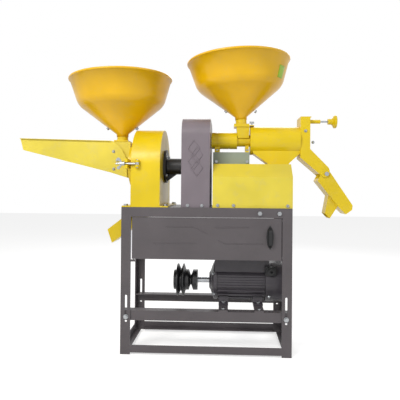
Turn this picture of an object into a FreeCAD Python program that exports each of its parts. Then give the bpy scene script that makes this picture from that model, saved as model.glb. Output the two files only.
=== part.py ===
"""Combined rice huller: a rice mill head and a claw crusher on one angle-iron stand, with the motor below.

Millimetres. X runs to the right along the shafts, Y to the rear and Z up. The origin is on the floor under the
middle of the stand.
"""
import FreeCAD, Part
import math
import os
import Sketcher

doc = FreeCAD.newDocument("RiceHuller")
sheet = doc.addObject("Spreadsheet::Sheet", "Sizes")
nodes = []


# ---------------------------------------------------------------- sizes and formulas

class Measure:
    """A number with the spreadsheet formula that it comes from."""

    def __init__(self, value, formula):
        self.value = value
        self.formula = formula

    def joined(self, other, sign, value):
        return Measure(value, "(%s %s %s)" % (self.formula, sign, other.formula))

    def __add__(self, other):
        other = measure(other)
        return self.joined(other, "+", self.value + other.value)

    def __sub__(self, other):
        other = measure(other)
        return self.joined(other, "-", self.value - other.value)

    def __mul__(self, other):
        other = measure(other)
        return self.joined(other, "*", self.value * other.value)

    def __truediv__(self, other):
        other = measure(other)
        return self.joined(other, "/", self.value / other.value)

    def __radd__(self, other):
        return measure(other) + self

    def __rsub__(self, other):
        return measure(other) - self

    def __rmul__(self, other):
        return measure(other) * self

    def __neg__(self):
        return Measure(-self.value, "(-%s)" % self.formula)


def measure(number):
    """A plain number as a Measure; a Measure stays as it is."""
    if isinstance(number, Measure):
        return number
    return Measure(float(number), "(%.6g)" % number)


def size(alias, number, meaning):
    """Write one driving dimension into the sheet and give it back as a Measure."""
    row = size.row = getattr(size, "row", 0) + 1
    sheet.set("A%d" % row, alias)
    sheet.set("B%d" % row, "%g" % number)
    sheet.set("C%d" % row, meaning)
    sheet.setAlias("B%d" % row, alias)
    return Measure(float(number), "Sizes." + alias)


# stand
stand_wide = size("stand_wide", 690, "Width of the stand over its legs")
stand_deep = size("stand_deep", 320, "Depth of the stand over its legs")
stand_high = size("stand_high", 595, "Height of the table top")
plate_thick = size("plate_thick", 4, "Table plate")
angle_thick = size("angle_thick", 4, "Wall of every angle iron")
leg_side = size("leg_side", 40, "Side of the leg angle")
top_rail_side = size("top_rail_side", 35, "Side of the top rail angle")
foot_rail_side = size("foot_rail_side", 30, "Side of the foot rail angle")
foot_rail_lift = size("foot_rail_lift", 8, "Foot rails above the floor")
slot_wide = size("slot_wide", 9, "Slots of the legs, for M8 bolts")
slot_low = size("slot_low", 130, "Lower end of the leg slots")
slot_high = size("slot_high", 240, "Upper end of the leg slots")
slot_inset = size("slot_inset", 22.5, "Slot centre from the side of the stand")

# front door
door_low = size("door_low", 386, "Lower edge of the front door")
door_gap = size("door_gap", 1.5, "Door to top rail")
door_deep = size("door_deep", 12, "Return edges of the door")
door_sheet = size("door_sheet", 1.5, "Sheet of the door")
door_pin = size("door_pin", 5, "Diameter of the pivot pins")
door_pin_inset = size("door_pin_inset", 11, "Pivot from the edge of the leg")
door_pin_back = size("door_pin_back", 7, "Pivot behind the front of the stand")
handle_x = size("handle_x", 256, "Middle of the door handle")
handle_z = size("handle_z", 478.5, "Middle height of the door handle")
handle_long = size("handle_long", 97, "Length of the door handle")
handle_wide = size("handle_wide", 30, "Width of the handle plate")
handle_rise = size("handle_rise", 22, "Bow of the handle in front of the door")

# motor bed
bed_top = size("bed_top", 177, "Top of the bed rails")
bed_play = size("bed_play", 0.3, "Bed rails behind the legs")
bar_wide = size("bar_wide", 38, "Width of the cross bars")
bar_thick = size("bar_thick", 6, "Thickness of the cross bars")
bar_left = size("bar_left", 71, "Middle of the left cross bar")
bar_right = size("bar_right", 216, "Middle of the right cross bar")

# motor
motor_rise = size("motor_rise", 90, "Shaft height of the motor over its feet")
motor_left = size("motor_left", 43, "Left end of the stator")
stator_long = size("stator_long", 208, "Length of the stator housing")
stator_radius = size("stator_radius", 80, "Stator housing over its ribs")
fin_high = size("fin_high", 6, "Height of the cooling ribs")
fin_thick = size("fin_thick", 10, "Width of the cooling ribs")
shield_long = size("shield_long", 34, "Length of the end shield")
fan_cover_long = size("fan_cover_long", 81, "Length of the fan cover")
fan_cover_radius = size("fan_cover_radius", 86, "Radius of the fan cover")
motor_shaft_radius = size("motor_shaft_radius", 12, "Drive end of the motor shaft")
rotor_radius = size("rotor_radius", 42, "Rotor core")
pulley_end = size("pulley_end", -145, "Left end of the motor pulley")
big_step_radius = size("big_step_radius", 69, "Large step of the motor pulley")
small_step_radius = size("small_step_radius", 44, "Small step of the motor pulley")
capacitor_deep = size("capacitor_deep", 132, "Depth of the capacitor box")
capacitor_top = size("capacitor_top", 119, "Top of the capacitor box over the motor shaft")
running_fit = size("running_fit", 0.05, "Radial play of shafts and pins in their bores")

# belt guard
guard_left = size("guard_left", -104, "Left side of the belt guard")
guard_wide = size("guard_wide", 116, "Width of the belt guard")
guard_deep = size("guard_deep", 300, "Depth of the belt guard")
guard_high = size("guard_high", 370, "Height of the belt guard over the table")
guard_corner = size("guard_corner", 72, "Rounding of the upper corners of the guard")
guard_sheet = size("guard_sheet", 2, "Sheet of the guard and of the covers")

# crusher
crusher_rise = size("crusher_rise", 173, "Crusher shaft over the table")
crusher_left = size("crusher_left", -309, "Left face of the crusher drum")
crusher_wide = size("crusher_wide", 119, "Width of the crusher drum")
drum_radius = size("drum_radius", 157, "Radius of the crusher drum")
drum_wall = size("drum_wall", 5, "Walls of the crusher drum")
drum_mouth = size("drum_mouth", 102, "Radius of the service opening under the round door")
base_over = size("base_over", 36, "Base flange left of the drum")
screen_radius = size("screen_radius", 125, "Inner radius of the ring screen")
crusher_shaft_radius = size("crusher_shaft_radius", 15, "Crusher shaft")
bearing_radius = size("bearing_radius", 31, "Outer radius of the crusher bearings")
bearing_wide = size("bearing_wide", 16, "Width of the crusher bearings")
housing_long = size("housing_long", 72, "Length of the bearing housing")
claw_thick = size("claw_thick", 9, "Radial thickness of every claw")
claw_gap = size("claw_gap", 9, "Radial gap between rows of claws")
claw_first = size("claw_first", 44, "Inner radius of the innermost claws")
claw_mesh = size("claw_mesh", 10, "Fixed and turning claws reach past each other by this")
door_radius = size("door_radius", 110, "Radius of the crusher door")
door_flange = size("door_flange", 10, "Thickness of the door rim")
door_boss = size("door_boss", 26, "Thickness of the door in the middle")
feed_hole = size("feed_hole", 42, "Radius of the feed hole in the door")
hinge_back = size("hinge_back", 128, "Door hinge behind the shaft")
hinge_out = size("hinge_out", 13, "Door hinge left of the drum")
hinge_radius = size("hinge_radius", 10, "Hinge knuckles")
latch_front = size("latch_front", 167, "Latch in front of the shaft")
latch_in = size("latch_in", 28, "Latch pin right of the left drum face")
latch_rod_radius = size("latch_rod_radius", 4, "Latch rod")

# feed side of the crusher
box_long = size("box_long", 76, "Length of the inlet throat")
box_top = size("box_top", 103, "Top of the inlet throat over the crusher shaft")
tray_long = size("tray_long", 394.5, "Length of the feed tray")
tray_deep = size("tray_deep", 120, "Depth of the feed tray")
tray_low = size("tray_low", 55, "Floor of the tray at the throat, under the crusher shaft line")
tray_rise = size("tray_rise", 94, "Rise of the tray floor to its outer end")
tray_lip = size("tray_lip", 8, "Folded lip of the tray")

# hoppers
hopper_radius = size("hopper_radius", 220, "Rim radius of both hoppers")
hopper_high = size("hopper_high", 238, "Hopper from neck to rim")
hopper_crease = size("hopper_crease", 108, "Crease below the rim")
crease_radius = size("crease_radius", 185, "Radius at the crease")
neck_radius = size("neck_radius", 24, "Outer radius of the necks")
sheet_thick = size("sheet_thick", 2, "Sheet of hoppers, trays and chutes")
rim_roll = size("rim_roll", 5, "Radius of the rolled rim")
left_lean = size("left_lean", 1.9, "Lean of the left hopper, degrees")
right_lean = size("right_lean", 3, "Lean of the right hopper, degrees")
left_neck_x = size("left_neck_x", -380, "Neck of the left hopper")
right_neck_x = size("right_neck_x", 143, "Neck of the right hopper")
left_neck_long = size("left_neck_long", 32, "Left neck tube")
right_neck_long = size("right_neck_long", 36, "Right neck tube")

# rice mill
mill_rise = size("mill_rise", 287, "Mill shaft over the table")
mill_left = size("mill_left", 14, "Left end of the mill housing")
mill_housing_radius = size("mill_housing_radius", 36, "Bearing part of the mill housing")
throat_radius = size("throat_radius", 25, "Feed throat of the mill housing")
throat_bore = size("throat_bore", 21, "Bore of the feed throat")
mill_bearing_radius = size("mill_bearing_radius", 26, "Outer radius of the mill bearings")
mill_shaft_radius = size("mill_shaft_radius", 12.5, "Mill shaft in its bearings")
mill_foot_high = size("mill_foot_high", 54, "Mill shaft over the bracket")
bracket_left = size("bracket_left", 22, "Left end of the mill bracket")
bracket_wide = size("bracket_wide", 155, "Width of the mill bracket")
bracket_deep = size("bracket_deep", 110, "Depth of the mill bracket")
cover_left = size("cover_left", 181, "Left end of the bran cover")
cover_long = size("cover_long", 212, "Length of the bran cover")
cover_radius = size("cover_radius", 61, "Radius of the bran cover")
sieve_radius = size("sieve_radius", 42, "Outer radius of the rice sieve")
roller_radius = size("roller_radius", 30, "Milling roller")
base_left = size("base_left", 24, "Left end of the base cover")
base_wide = size("base_wide", 323, "Width of the base cover")
base_deep = size("base_deep", 300, "Depth of the base cover")
base_high = size("base_high", 181, "Height of the base cover")
base_bevel = size("base_bevel", 55, "Bevel of the base cover")

# outlet
head_wide = size("head_wide", 41, "Width of the outlet head")
head_deep = size("head_deep", 100, "Depth of the outlet head")
head_top = size("head_top", 100, "Top of the outlet head over the mill shaft")
screw_rise = size("screw_rise", 85, "Pressure screw over the mill shaft")
screw_radius = size("screw_radius", 4, "Pressure screw")
flap_rise = size("flap_rise", 38.5, "Flap pivot over the mill shaft")
chute_pivot_x = size("chute_pivot_x", 503.6, "Pivot of the lower chute")
chute_pivot_drop = size("chute_pivot_drop", 143.4, "Pivot of the lower chute under the mill shaft")

doc.recompute()

half_wide = stand_wide / 2
half_deep = stand_deep / 2
plate_bottom = stand_high - plate_thick
leg_inner = half_wide - leg_side
crusher_z = stand_high + crusher_rise
crusher_right = crusher_left + crusher_wide
mill_z = stand_high + mill_rise
motor_z = bed_top + bar_thick + motor_rise
quarter_turn = 90


# ---------------------------------------------------------------- modelling helpers

def bind(item, field, number):
    """Tie one property to the sheet."""
    item.setExpression(field, measure(number).formula)


def put(item, x=0, y=0, z=0):
    """Tie an object's place to the sheet."""
    for letter, number in zip("xyz", (x, y, z)):
        bind(item, "Placement.Base." + letter, number)
    return item


def lean(item, degrees):
    """Turn an object about the Y direction through its own place."""
    item.Placement = FreeCAD.Placement(item.Placement.Base, FreeCAD.Rotation(FreeCAD.Vector(0, 1, 0), 1))
    bind(item, "Placement.Rotation.Angle", degrees)
    return item


def new(kind, label):
    item = doc.addObject(kind, label)
    item.Label = label
    return item


def body(label, x=0, y=0, z=0):
    return put(new("PartDesign::Body", label), x, y, z)


def origin_feature(owner, role):
    return next(feature for feature in owner.Origin.OriginFeatures if feature.Role == role)


def sketch_on(owner, plane, offset):
    """Sketch on one of the body's own planes, moved along the plane's normal."""
    sketch = owner.newObject("Sketcher::SketchObject", owner.Label + "_sketch")
    sketch.AttachmentSupport = (origin_feature(owner, plane + "_Plane"), [""])
    sketch.MapMode = "FlatFace"
    bind(sketch, "AttachmentOffset.Base.z", offset)
    return sketch


def hold(sketch, geometry, point, x, y):
    """Pin a point of the sketch at a place from the sheet."""
    for kind, number in (("DistanceX", measure(x)), ("DistanceY", measure(y))):
        index = sketch.addConstraint(Sketcher.Constraint(kind, -1, 1, geometry, point, number.value))
        sketch.setExpression("Constraints[%d]" % index, number.formula)


def draw_circle(sketch, x, y, radius):
    x, y, radius = measure(x), measure(y), measure(radius)
    centre = FreeCAD.Vector(x.value, y.value, 0)
    circle = sketch.addGeometry(Part.Circle(centre, FreeCAD.Vector(0, 0, 1), radius.value))
    hold(sketch, circle, 3, x, y)
    index = sketch.addConstraint(Sketcher.Constraint("Radius", circle, radius.value))
    sketch.setExpression("Constraints[%d]" % index, radius.formula)


def draw_outline(sketch, corners):
    """Closed outline through the corners; a third number of a corner is its rounding radius."""
    corners = [tuple(measure(number) for number in corner) for corner in corners]
    points = [FreeCAD.Vector(corner[0].value, corner[1].value, 0) for corner in corners]
    count = len(corners)
    enter, leave, arcs = list(points), list(points), {}
    for index, corner in enumerate(corners):
        if len(corner) < 3:
            continue
        here = points[index]
        back = (points[index - 1] - here).normalize()
        ahead = (points[(index + 1) % count] - here).normalize()
        half_angle = back.getAngle(ahead) / 2
        reach = corner[2].value / math.tan(half_angle)
        enter[index] = here + back * reach
        leave[index] = here + ahead * reach
        centre = here + (back + ahead).normalize() * (corner[2].value / math.sin(half_angle))
        arcs[index] = (centre, corner[2])
    lines = []
    for index in range(count):
        line = Part.LineSegment(leave[index], enter[(index + 1) % count])
        lines.append(sketch.addGeometry(line))
    for index, corner in enumerate(corners):
        before, after = lines[index - 1], lines[index]
        if index not in arcs:
            sketch.addConstraint(Sketcher.Constraint("Coincident", before, 2, after, 1))
            hold(sketch, after, 1, corner[0], corner[1])
            continue
        centre, radius = arcs[index]
        start, end = enter[index] - centre, leave[index] - centre
        turns_left = start.cross(end).z > 0
        first, last = (start, end) if turns_left else (end, start)
        circle = Part.Circle(centre, FreeCAD.Vector(0, 0, 1), radius.value)
        arc_shape = Part.ArcOfCircle(circle, math.atan2(first.y, first.x), math.atan2(last.y, last.x))
        arc = sketch.addGeometry(arc_shape)
        tip = sketch.addGeometry(Part.Point(points[index]), True)
        hold(sketch, tip, 1, corner[0], corner[1])
        sketch.addConstraint(Sketcher.Constraint("PointOnObject", tip, 1, before))
        sketch.addConstraint(Sketcher.Constraint("PointOnObject", tip, 1, after))
        begin, finish = (1, 2) if turns_left else (2, 1)
        sketch.addConstraint(Sketcher.Constraint("Tangent", before, 2, arc, begin))
        sketch.addConstraint(Sketcher.Constraint("Tangent", arc, finish, after, 1))
        index_radius = sketch.addConstraint(Sketcher.Constraint("Radius", arc, radius.value))
        sketch.setExpression("Constraints[%d]" % index_radius, radius.formula)


def draw(sketch, shapes):
    """Each shape is ("circle", x, y, radius) or a list of corners."""
    for shape in shapes:
        if shape[0] == "circle":
            draw_circle(sketch, *shape[1:])
        else:
            draw_outline(sketch, shape)


def add(owner, plane, start, length, *shapes):
    """Pad from start to start + length along the world direction square to the plane."""
    start, length = measure(start), measure(length)
    offset = -(start + length) if plane == "XZ" else start
    sketch = sketch_on(owner, plane, offset)
    draw(sketch, shapes)
    pad = owner.newObject("PartDesign::Pad", owner.Label + "_pad")
    pad.Profile = sketch
    bind(pad, "Length", length)
    return pad


def take(owner, plane, start, length, *shapes):
    """Pocket from start to start + length along the world direction square to the plane."""
    start, length = measure(start), measure(length)
    offset = -start if plane == "XZ" else start + length
    sketch = sketch_on(owner, plane, offset)
    draw(sketch, shapes)
    pocket = owner.newObject("PartDesign::Pocket", owner.Label + "_pocket")
    pocket.Profile = sketch
    bind(pocket, "Length", length)
    return pocket


def revolve(owner, axis, *shapes):
    """Turn profiles of the XZ plane about the body's X axis (H_Axis) or Z axis (V_Axis)."""
    sketch = sketch_on(owner, "XZ", 0)
    draw(sketch, shapes)
    turned = owner.newObject("PartDesign::Revolution", owner.Label + "_revolve")
    turned.Profile = sketch
    turned.ReferenceAxis = (sketch, [axis])
    turned.Angle = 360
    return turned


def ring_of(owner, feature, count):
    """Repeat a feature about the body's X axis."""
    pattern = owner.newObject("PartDesign::PolarPattern", owner.Label + "_pattern")
    pattern.Originals = [feature]
    pattern.Axis = (origin_feature(owner, "X_Axis"), [""])
    pattern.Angle = 360
    pattern.Occurrences = count
    owner.Tip = pattern
    return pattern


def rectangle(left, right, low, high, rounding=None):
    corners = [(left, low), (right, low), (right, high), (left, high)]
    if rounding is None:
        return corners
    return [corner + (rounding,) for corner in corners]


def block(label, x, y, z, long, deep, high):
    box = put(new("Part::Box", label), x, y, z)
    for field, number in (("Length", long), ("Width", deep), ("Height", high)):
        bind(box, field, number)
    return box


TURNS = {
    "X": FreeCAD.Rotation(FreeCAD.Vector(0, 1, 0), quarter_turn),
    "Y": FreeCAD.Rotation(FreeCAD.Vector(1, 0, 0), -quarter_turn),
    "Z": FreeCAD.Rotation(),
}


def rod(label, axis, x, y, z, radius, length):
    """Cylinder that starts at the place and runs along the named axis."""
    cylinder = new("Part::Cylinder", label)
    cylinder.Placement.Rotation = TURNS[axis]
    put(cylinder, x, y, z)
    bind(cylinder, "Radius", radius)
    bind(cylinder, "Height", length)
    return cylinder


def hexagon(label, axis, x, y, z, radius, length):
    """Six-sided prism that starts at the place and runs along the named axis."""
    prism = new("Part::Prism", label)
    prism.Polygon = 6
    prism.Placement.Rotation = TURNS[axis]
    put(prism, x, y, z)
    bind(prism, "Circumradius", radius)
    bind(prism, "Height", length)
    return prism


def fuse(label, *pieces):
    joined = new("Part::MultiFuse", label)
    joined.Shapes = list(pieces)
    return joined


def cut(label, base, tool):
    result = new("Part::Cut", label)
    result.Base = base
    result.Tool = tool
    return result


def group(label, *pieces):
    """Separate like pieces that share one node."""
    together = new("Part::Compound", label)
    together.Links = list(pieces)
    return together


def mirrored(label, source, x, y):
    """Mirror image across the middle plane square to the direction (x, y)."""
    image = new("Part::Mirroring", label)
    image.Source = source
    image.Normal = FreeCAD.Vector(x, y, 0)
    return image


def four_corners(label, source):
    """A piece at the front left and its images at the other three corners of the stand."""
    right = mirrored(label + "_right", source, 1, 0)
    return group(label, source, right, mirrored(label + "_rear", source, 0, 1),
                 mirrored(label + "_rear_right", right, 0, 1))


def keep(piece):
    """Mark a finished sub-part for export."""
    nodes.append(piece)
    return piece


# ---------------------------------------------------------------- stand

def angle(left, front, side, thick):
    """Corners of an angle section whose outer corner is at (left, front)."""
    return [(left, front), (left + side, front), (left + side, front + thick), (left + thick, front + thick),
            (left + thick, front + side), (left, front + side)]


def build_stand():
    leg = body("leg")
    add(leg, "XY", 0, plate_bottom, angle(-half_wide, -half_deep, leg_side, angle_thick))
    slot_left = -half_wide + slot_inset - slot_wide / 2
    take(leg, "XZ", -half_deep - 1, angle_thick + 2,
         rectangle(slot_left, slot_left + slot_wide, slot_low, slot_high, slot_wide / 2 - 0.1))
    keep(four_corners("legs", leg))

    clear_wide = stand_wide - 2 * leg_side
    clear_deep = stand_deep - 2 * leg_side
    for label, side, low, is_top in (("top_rails", top_rail_side, plate_bottom - top_rail_side, True),
                                     ("foot_rails", foot_rail_side, foot_rail_lift, False)):
        shelf = plate_bottom - angle_thick if is_top else low
        front = body(label + "_front")
        add(front, "YZ", -leg_inner, clear_wide,
            rectangle(-half_deep, -half_deep + angle_thick, low, low + side))
        add(front, "XY", shelf, angle_thick,
            rectangle(-leg_inner, leg_inner, -half_deep, -half_deep + side))
        end = body(label + "_left")
        add(end, "XZ", -clear_deep / 2, clear_deep,
            rectangle(-half_wide, -half_wide + angle_thick, low, low + side))
        add(end, "XY", shelf, angle_thick,
            rectangle(-half_wide, -half_wide + side, -clear_deep / 2, clear_deep / 2))
        keep(group(label, front, mirrored(label + "_back", front, 0, 1),
                   end, mirrored(label + "_right", end, 1, 0)))

    plate = body("table_plate")
    add(plate, "XY", plate_bottom, plate_thick, rectangle(-half_wide, half_wide, -half_deep, half_deep))
    take(plate, "XY", plate_bottom - 1, plate_thick + 2,
         rectangle(guard_left + 8, guard_left + guard_wide - 8, -guard_deep / 2 + 40, guard_deep / 2 - 40, 10),
         rectangle(crusher_left + 9, crusher_right - 10, -58, 58, 10))
    keep(plate)

    screws = []
    for index, x in enumerate((215, 293)):
        screws.append(hexagon("rail_bolt_%d" % index, "Y", x, -half_deep - 6, stand_high - 21, 9, 6))
    for index, x in enumerate((guard_left + 27, guard_left + guard_wide - 31)):
        screws.append(rod("guard_screw_%d" % index, "Y", x, -guard_deep / 2 - 4, stand_high + 8, 6, 4))
    for index, x in enumerate((base_left + 21, base_left + 85, base_left + base_wide - 20)):
        screws.append(rod("cover_screw_%d" % index, "Y", x, -base_deep / 2 - 4, stand_high + 10, 6, 4))
    keep(group("table_screws", *screws))


# ---------------------------------------------------------------- front door

pivot_x = -leg_inner + door_pin_inset
pivot_y = -half_deep + door_pin_back
door_left = pivot_x - 6.5
door_right = leg_inner - 3
door_high = plate_bottom - top_rail_side - door_gap
door_back = -half_deep + door_deep


def build_door():
    door = body("front_door")
    add(door, "XZ", -half_deep, door_deep, rectangle(door_left, door_right, door_low, door_high))
    take(door, "XZ", -half_deep + door_sheet, door_deep,
         rectangle(door_left + door_sheet, door_right - door_sheet, door_low + door_sheet, door_high - door_sheet))
    take(door, "XY", door_low - 1, door_high - door_low + 2,
         ("circle", pivot_x, pivot_y, door_pin / 2 + running_fit))
    keep(door)

    upper = fuse("upper_pivot",
                 block("upper_pivot_block", pivot_x - 8, -half_deep + angle_thick, door_high + 2, 16, 8, 12),
                 rod("upper_pivot_pin", "Z", pivot_x, pivot_y, door_high - 6, door_pin / 2, 18))
    lower = fuse("lower_pivot",
                 block("lower_pivot_block", -half_wide + 10, -half_deep + angle_thick, door_low - 12,
                       pivot_x + half_wide - 2, 8, 8),
                 rod("lower_pivot_pin", "Z", pivot_x, pivot_y, door_low - 8, door_pin / 2, 15))
    stop = fuse("door_stop",
                block("door_stop_foot", leg_inner + 1, -half_deep + angle_thick, door_low + 14, 24, 11, 140),
                block("door_stop_strip", leg_inner - 13, door_back + 0.2, door_low + 14, 15, 2.8, 140))
    keep(group("door_fittings", upper, lower, stop))

    handle = body("door_handle")
    top, low = handle_z + handle_long / 2, handle_z - handle_long / 2
    left, right = handle_x - handle_wide / 2, handle_x + handle_wide / 2
    add(handle, "XZ", -half_deep - 3, 3,
        [(handle_x, low), (right - 4, handle_z - 30, 20), (right, handle_z, 60), (right - 4, handle_z + 30, 20),
         (handle_x, top), (left + 4, handle_z + 30, 20), (left, handle_z, 60), (left + 4, handle_z - 30, 20)])
    face = -half_deep - 2
    crown = -half_deep - handle_rise
    add(handle, "YZ", handle_x - 6, 12,
        [(face, low + 8), (face, low + 17), (crown + 6, low + 28, 8), (crown + 6, top - 28, 8), (face, top - 17),
         (face, top - 8), (crown, top - 21, 12), (crown, low + 21, 12)])
    keep(handle)


# ---------------------------------------------------------------- motor bed and motor

rail_front = -half_deep + angle_thick + bed_play
bed_low = bed_top - leg_side
slot_bolt_x = -half_wide + slot_inset


def build_bed():
    rail = body("bed_rail")
    add(rail, "YZ", -half_wide + angle_thick + 1, stand_wide - 2 * angle_thick - 2,
        [(rail_front, bed_low), (rail_front + angle_thick, bed_low), (rail_front + angle_thick, bed_top - angle_thick),
         (rail_front + leg_side, bed_top - angle_thick), (rail_front + leg_side, bed_top), (rail_front, bed_top)])
    keep(group("bed_rails", rail, mirrored("bed_rail_rear", rail, 0, 1)))

    bars = []
    for index, middle in enumerate((bar_left, bar_right)):
        bars.append(block("bed_bar_%d" % index, middle - bar_wide / 2, rail_front, bed_top,
                          bar_wide, -2 * rail_front, bar_thick))
    keep(group("bed_bars", *bars))

    bolt_z = bed_low + 15
    slot_bolt = fuse("slot_bolt",
                     hexagon("slot_bolt_head", "Y", slot_bolt_x, -half_deep - 8, bolt_z, 7.5, 5.6),
                     rod("slot_bolt_washer", "Y", slot_bolt_x, -half_deep - 2.4, bolt_z, 10, 2),
                     rod("slot_bolt_shank", "Y", slot_bolt_x, -half_deep - 3, bolt_z, 4,
                         3 + angle_thick + bed_play))
    pieces = list(four_corners("slot_bolts", slot_bolt).Links)
    for index, middle in enumerate((bar_left, bar_right)):
        front = hexagon("bar_bolt_%d" % index, "Z", middle, rail_front + 18, bed_top + bar_thick, 8, 6)
        foot = hexagon("foot_bolt_%d" % index, "Z", middle, -66, bed_top + bar_thick + 9, 8, 6)
        pieces += [front, mirrored("bar_bolt_rear_%d" % index, front, 0, 1)]
        pieces += [foot, mirrored("foot_bolt_rear_%d" % index, foot, 0, 1)]
    keep(group("bed_bolts", *pieces))


stator_right = motor_left + stator_long


def build_motor():
    stator = body("motor_stator", z=motor_z)
    add(stator, "YZ", motor_left, stator_long, ("circle", 0, 0, stator_radius - fin_high))
    rib_top = stator_radius - 0.2
    fin = add(stator, "YZ", motor_left + 3, stator_long - 10,
              [(-fin_thick / 2, stator_radius - fin_high - 2), (fin_thick / 2, stator_radius - fin_high - 2),
               (fin_thick / 2, rib_top, 3), (-fin_thick / 2, rib_top, 3)])
    ring_of(stator, fin, 22)
    add(stator, "YZ", stator_right - 4, 4, ("circle", 0, 0, fan_cover_radius - 2))
    foot_top = -motor_rise + 9
    for middle in (bar_left, bar_right):
        add(stator, "YZ", middle - 20, 40,
            [(-82, -motor_rise), (82, -motor_rise), (82, foot_top), (52, foot_top, 5), (46, -50), (-46, -50),
             (-52, foot_top, 5), (-82, foot_top)])
    take(stator, "YZ", motor_left - 1, stator_long - 15, ("circle", 0, 0, rotor_radius + 1))
    take(stator, "YZ", motor_left - 1, stator_long + 2, ("circle", 0, 0, motor_shaft_radius + 2.5))
    take(stator, "YZ", stator_right - 15, 16, ("circle", 0, 0, mill_bearing_radius))
    keep(stator)

    shield = body("motor_shield", z=motor_z)
    shield_left = motor_left - shield_long
    bore = motor_shaft_radius + 1.5
    revolve(shield, "H_Axis",
            [(shield_left, bore), (shield_left, 34), (shield_left + 5, 40), (shield_left + 14, 66, 8),
             (shield_left + 20, stator_radius), (motor_left, stator_radius), (motor_left, mill_bearing_radius),
             (motor_left - 15, mill_bearing_radius), (motor_left - 15, bore)])
    keep(shield)

    cover = body("motor_fan_cover", z=motor_z)
    cover_end = stator_right - 4 + fan_cover_long
    revolve(cover, "H_Axis",
            [(stator_right - 4, fan_cover_radius - 2), (stator_right - 4, fan_cover_radius),
             (cover_end, fan_cover_radius, 9), (cover_end, 0), (cover_end - 2, 0),
             (cover_end - 2, fan_cover_radius - 2, 7)])
    slot = take(cover, "YZ", cover_end - 3, 4, rectangle(-3, 3, 22, fan_cover_radius - 14, 2.9))
    ring_of(cover, slot, 18)
    keep(cover)

    box = body("capacitor_box", z=motor_z)
    add(box, "YZ", motor_left - 10, stator_long + 21,
        [(-capacitor_deep / 2, 48), (capacitor_deep / 2, 48), (capacitor_deep / 2, capacitor_top, 16),
         (-capacitor_deep / 2, capacitor_top, 16)])
    inner_side = capacitor_deep / 2 - guard_sheet
    inner_top = capacitor_top - guard_sheet
    take(box, "YZ", motor_left - 8, stator_long + 17,
         [(-inner_side, fan_cover_radius + 4), (inner_side, fan_cover_radius + 4), (inner_side, inner_top - 12),
          (inner_side - 12, inner_top), (12 - inner_side, inner_top), (-inner_side, inner_top - 12)])
    take(box, "YZ", motor_left - 11, stator_long + 6, ("circle", 0, 0, stator_radius))
    take(box, "YZ", stator_right - 6, 20, ("circle", 0, 0, fan_cover_radius))
    keep(box)

    gland_x, gland_z = stator_right + 18, 56
    gland = body("cable_gland", z=motor_z)
    plate_y = -fan_cover_radius + 4
    add(gland, "XZ", plate_y, 3, rectangle(gland_x - 24, gland_x + 22, gland_z - 20, gland_z + 20, 6))
    add(gland, "XZ", plate_y, -capacitor_deep / 2 - plate_y,
        rectangle(gland_x - 24, gland_x - 10, gland_z + 5, gland_z + 19))
    add(gland, "XZ", plate_y - 8, 8, ("circle", gland_x, gland_z, 19))
    add(gland, "XZ", plate_y - 16, 8, ("circle", gland_x, gland_z, 13))
    take(gland, "XZ", plate_y - 17, 14, ("circle", gland_x, gland_z, 6))
    keep(gland)


def bearing(label, left, axis_z, bore, outer, wide):
    """Ball bearing as one ring with a groove between its races on each side."""
    ring = body(label, left, 0, axis_z)
    middle = (bore + outer) / 2
    revolve(ring, "H_Axis",
            [(0, bore), (0, middle - 3), (1.5, middle - 3), (1.5, middle + 3), (0, middle + 3), (0, outer),
             (wide, outer), (wide, middle + 3), (wide - 1.5, middle + 3), (wide - 1.5, middle - 3),
             (wide, middle - 3), (wide, bore)])
    return ring


def build_motor_rotor():
    race = mill_shaft_radius
    keep(group("motor_bearings",
               bearing("motor_bearing_left", motor_left - 15, motor_z, race, mill_bearing_radius, 15),
               bearing("motor_bearing_right", stator_right - 15, motor_z, race, mill_bearing_radius, 15)))

    shaft = body("motor_shaft", z=motor_z)
    journal = race - running_fit
    core_left, core_right = motor_left + 17, motor_left + 177
    revolve(shaft, "H_Axis",
            [(pulley_end - 3, 0), (pulley_end - 3, motor_shaft_radius), (motor_left - 17, motor_shaft_radius),
             (motor_left - 17, journal), (motor_left + 1, journal), (motor_left + 1, 17), (core_left, 17),
             (core_left, rotor_radius), (core_right, rotor_radius), (core_right, 17), (stator_right - 16, 17),
             (stator_right - 16, journal), (stator_right + 2, journal), (stator_right + 2, 9),
             (stator_right + 36, 9), (stator_right + 36, 0)])
    keep(shaft)

    fan = body("motor_fan", z=motor_z)
    fan_left = stator_right + 12
    revolve(fan, "H_Axis",
            [(fan_left, 9), (fan_left, 70), (fan_left + 2, 70), (fan_left + 2, 17), (fan_left + 22, 17),
             (fan_left + 22, 9)])
    blade = add(fan, "YZ", fan_left, 24, rectangle(-1.5, 1.5, 15, 74))
    ring_of(fan, blade, 7)
    keep(fan)

    pulley = body("motor_pulley", z=motor_z)
    big, small = big_step_radius, small_step_radius
    start = pulley_end
    revolve(pulley, "H_Axis",
            [(start, motor_shaft_radius), (start, small - 2), (start + 14, small - 2), (start + 14, big),
             (start + 19, big), (start + 28, big - 21), (start + 32, big - 21), (start + 39, big),
             (start + 43, big), (start + 51, small), (start + 64, small), (start + 71, small - 22),
             (start + 75, small - 22), (start + 83, small), (start + 102, small),
             (start + 102, motor_shaft_radius)])
    keep(pulley)


# ---------------------------------------------------------------- belt guard

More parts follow.
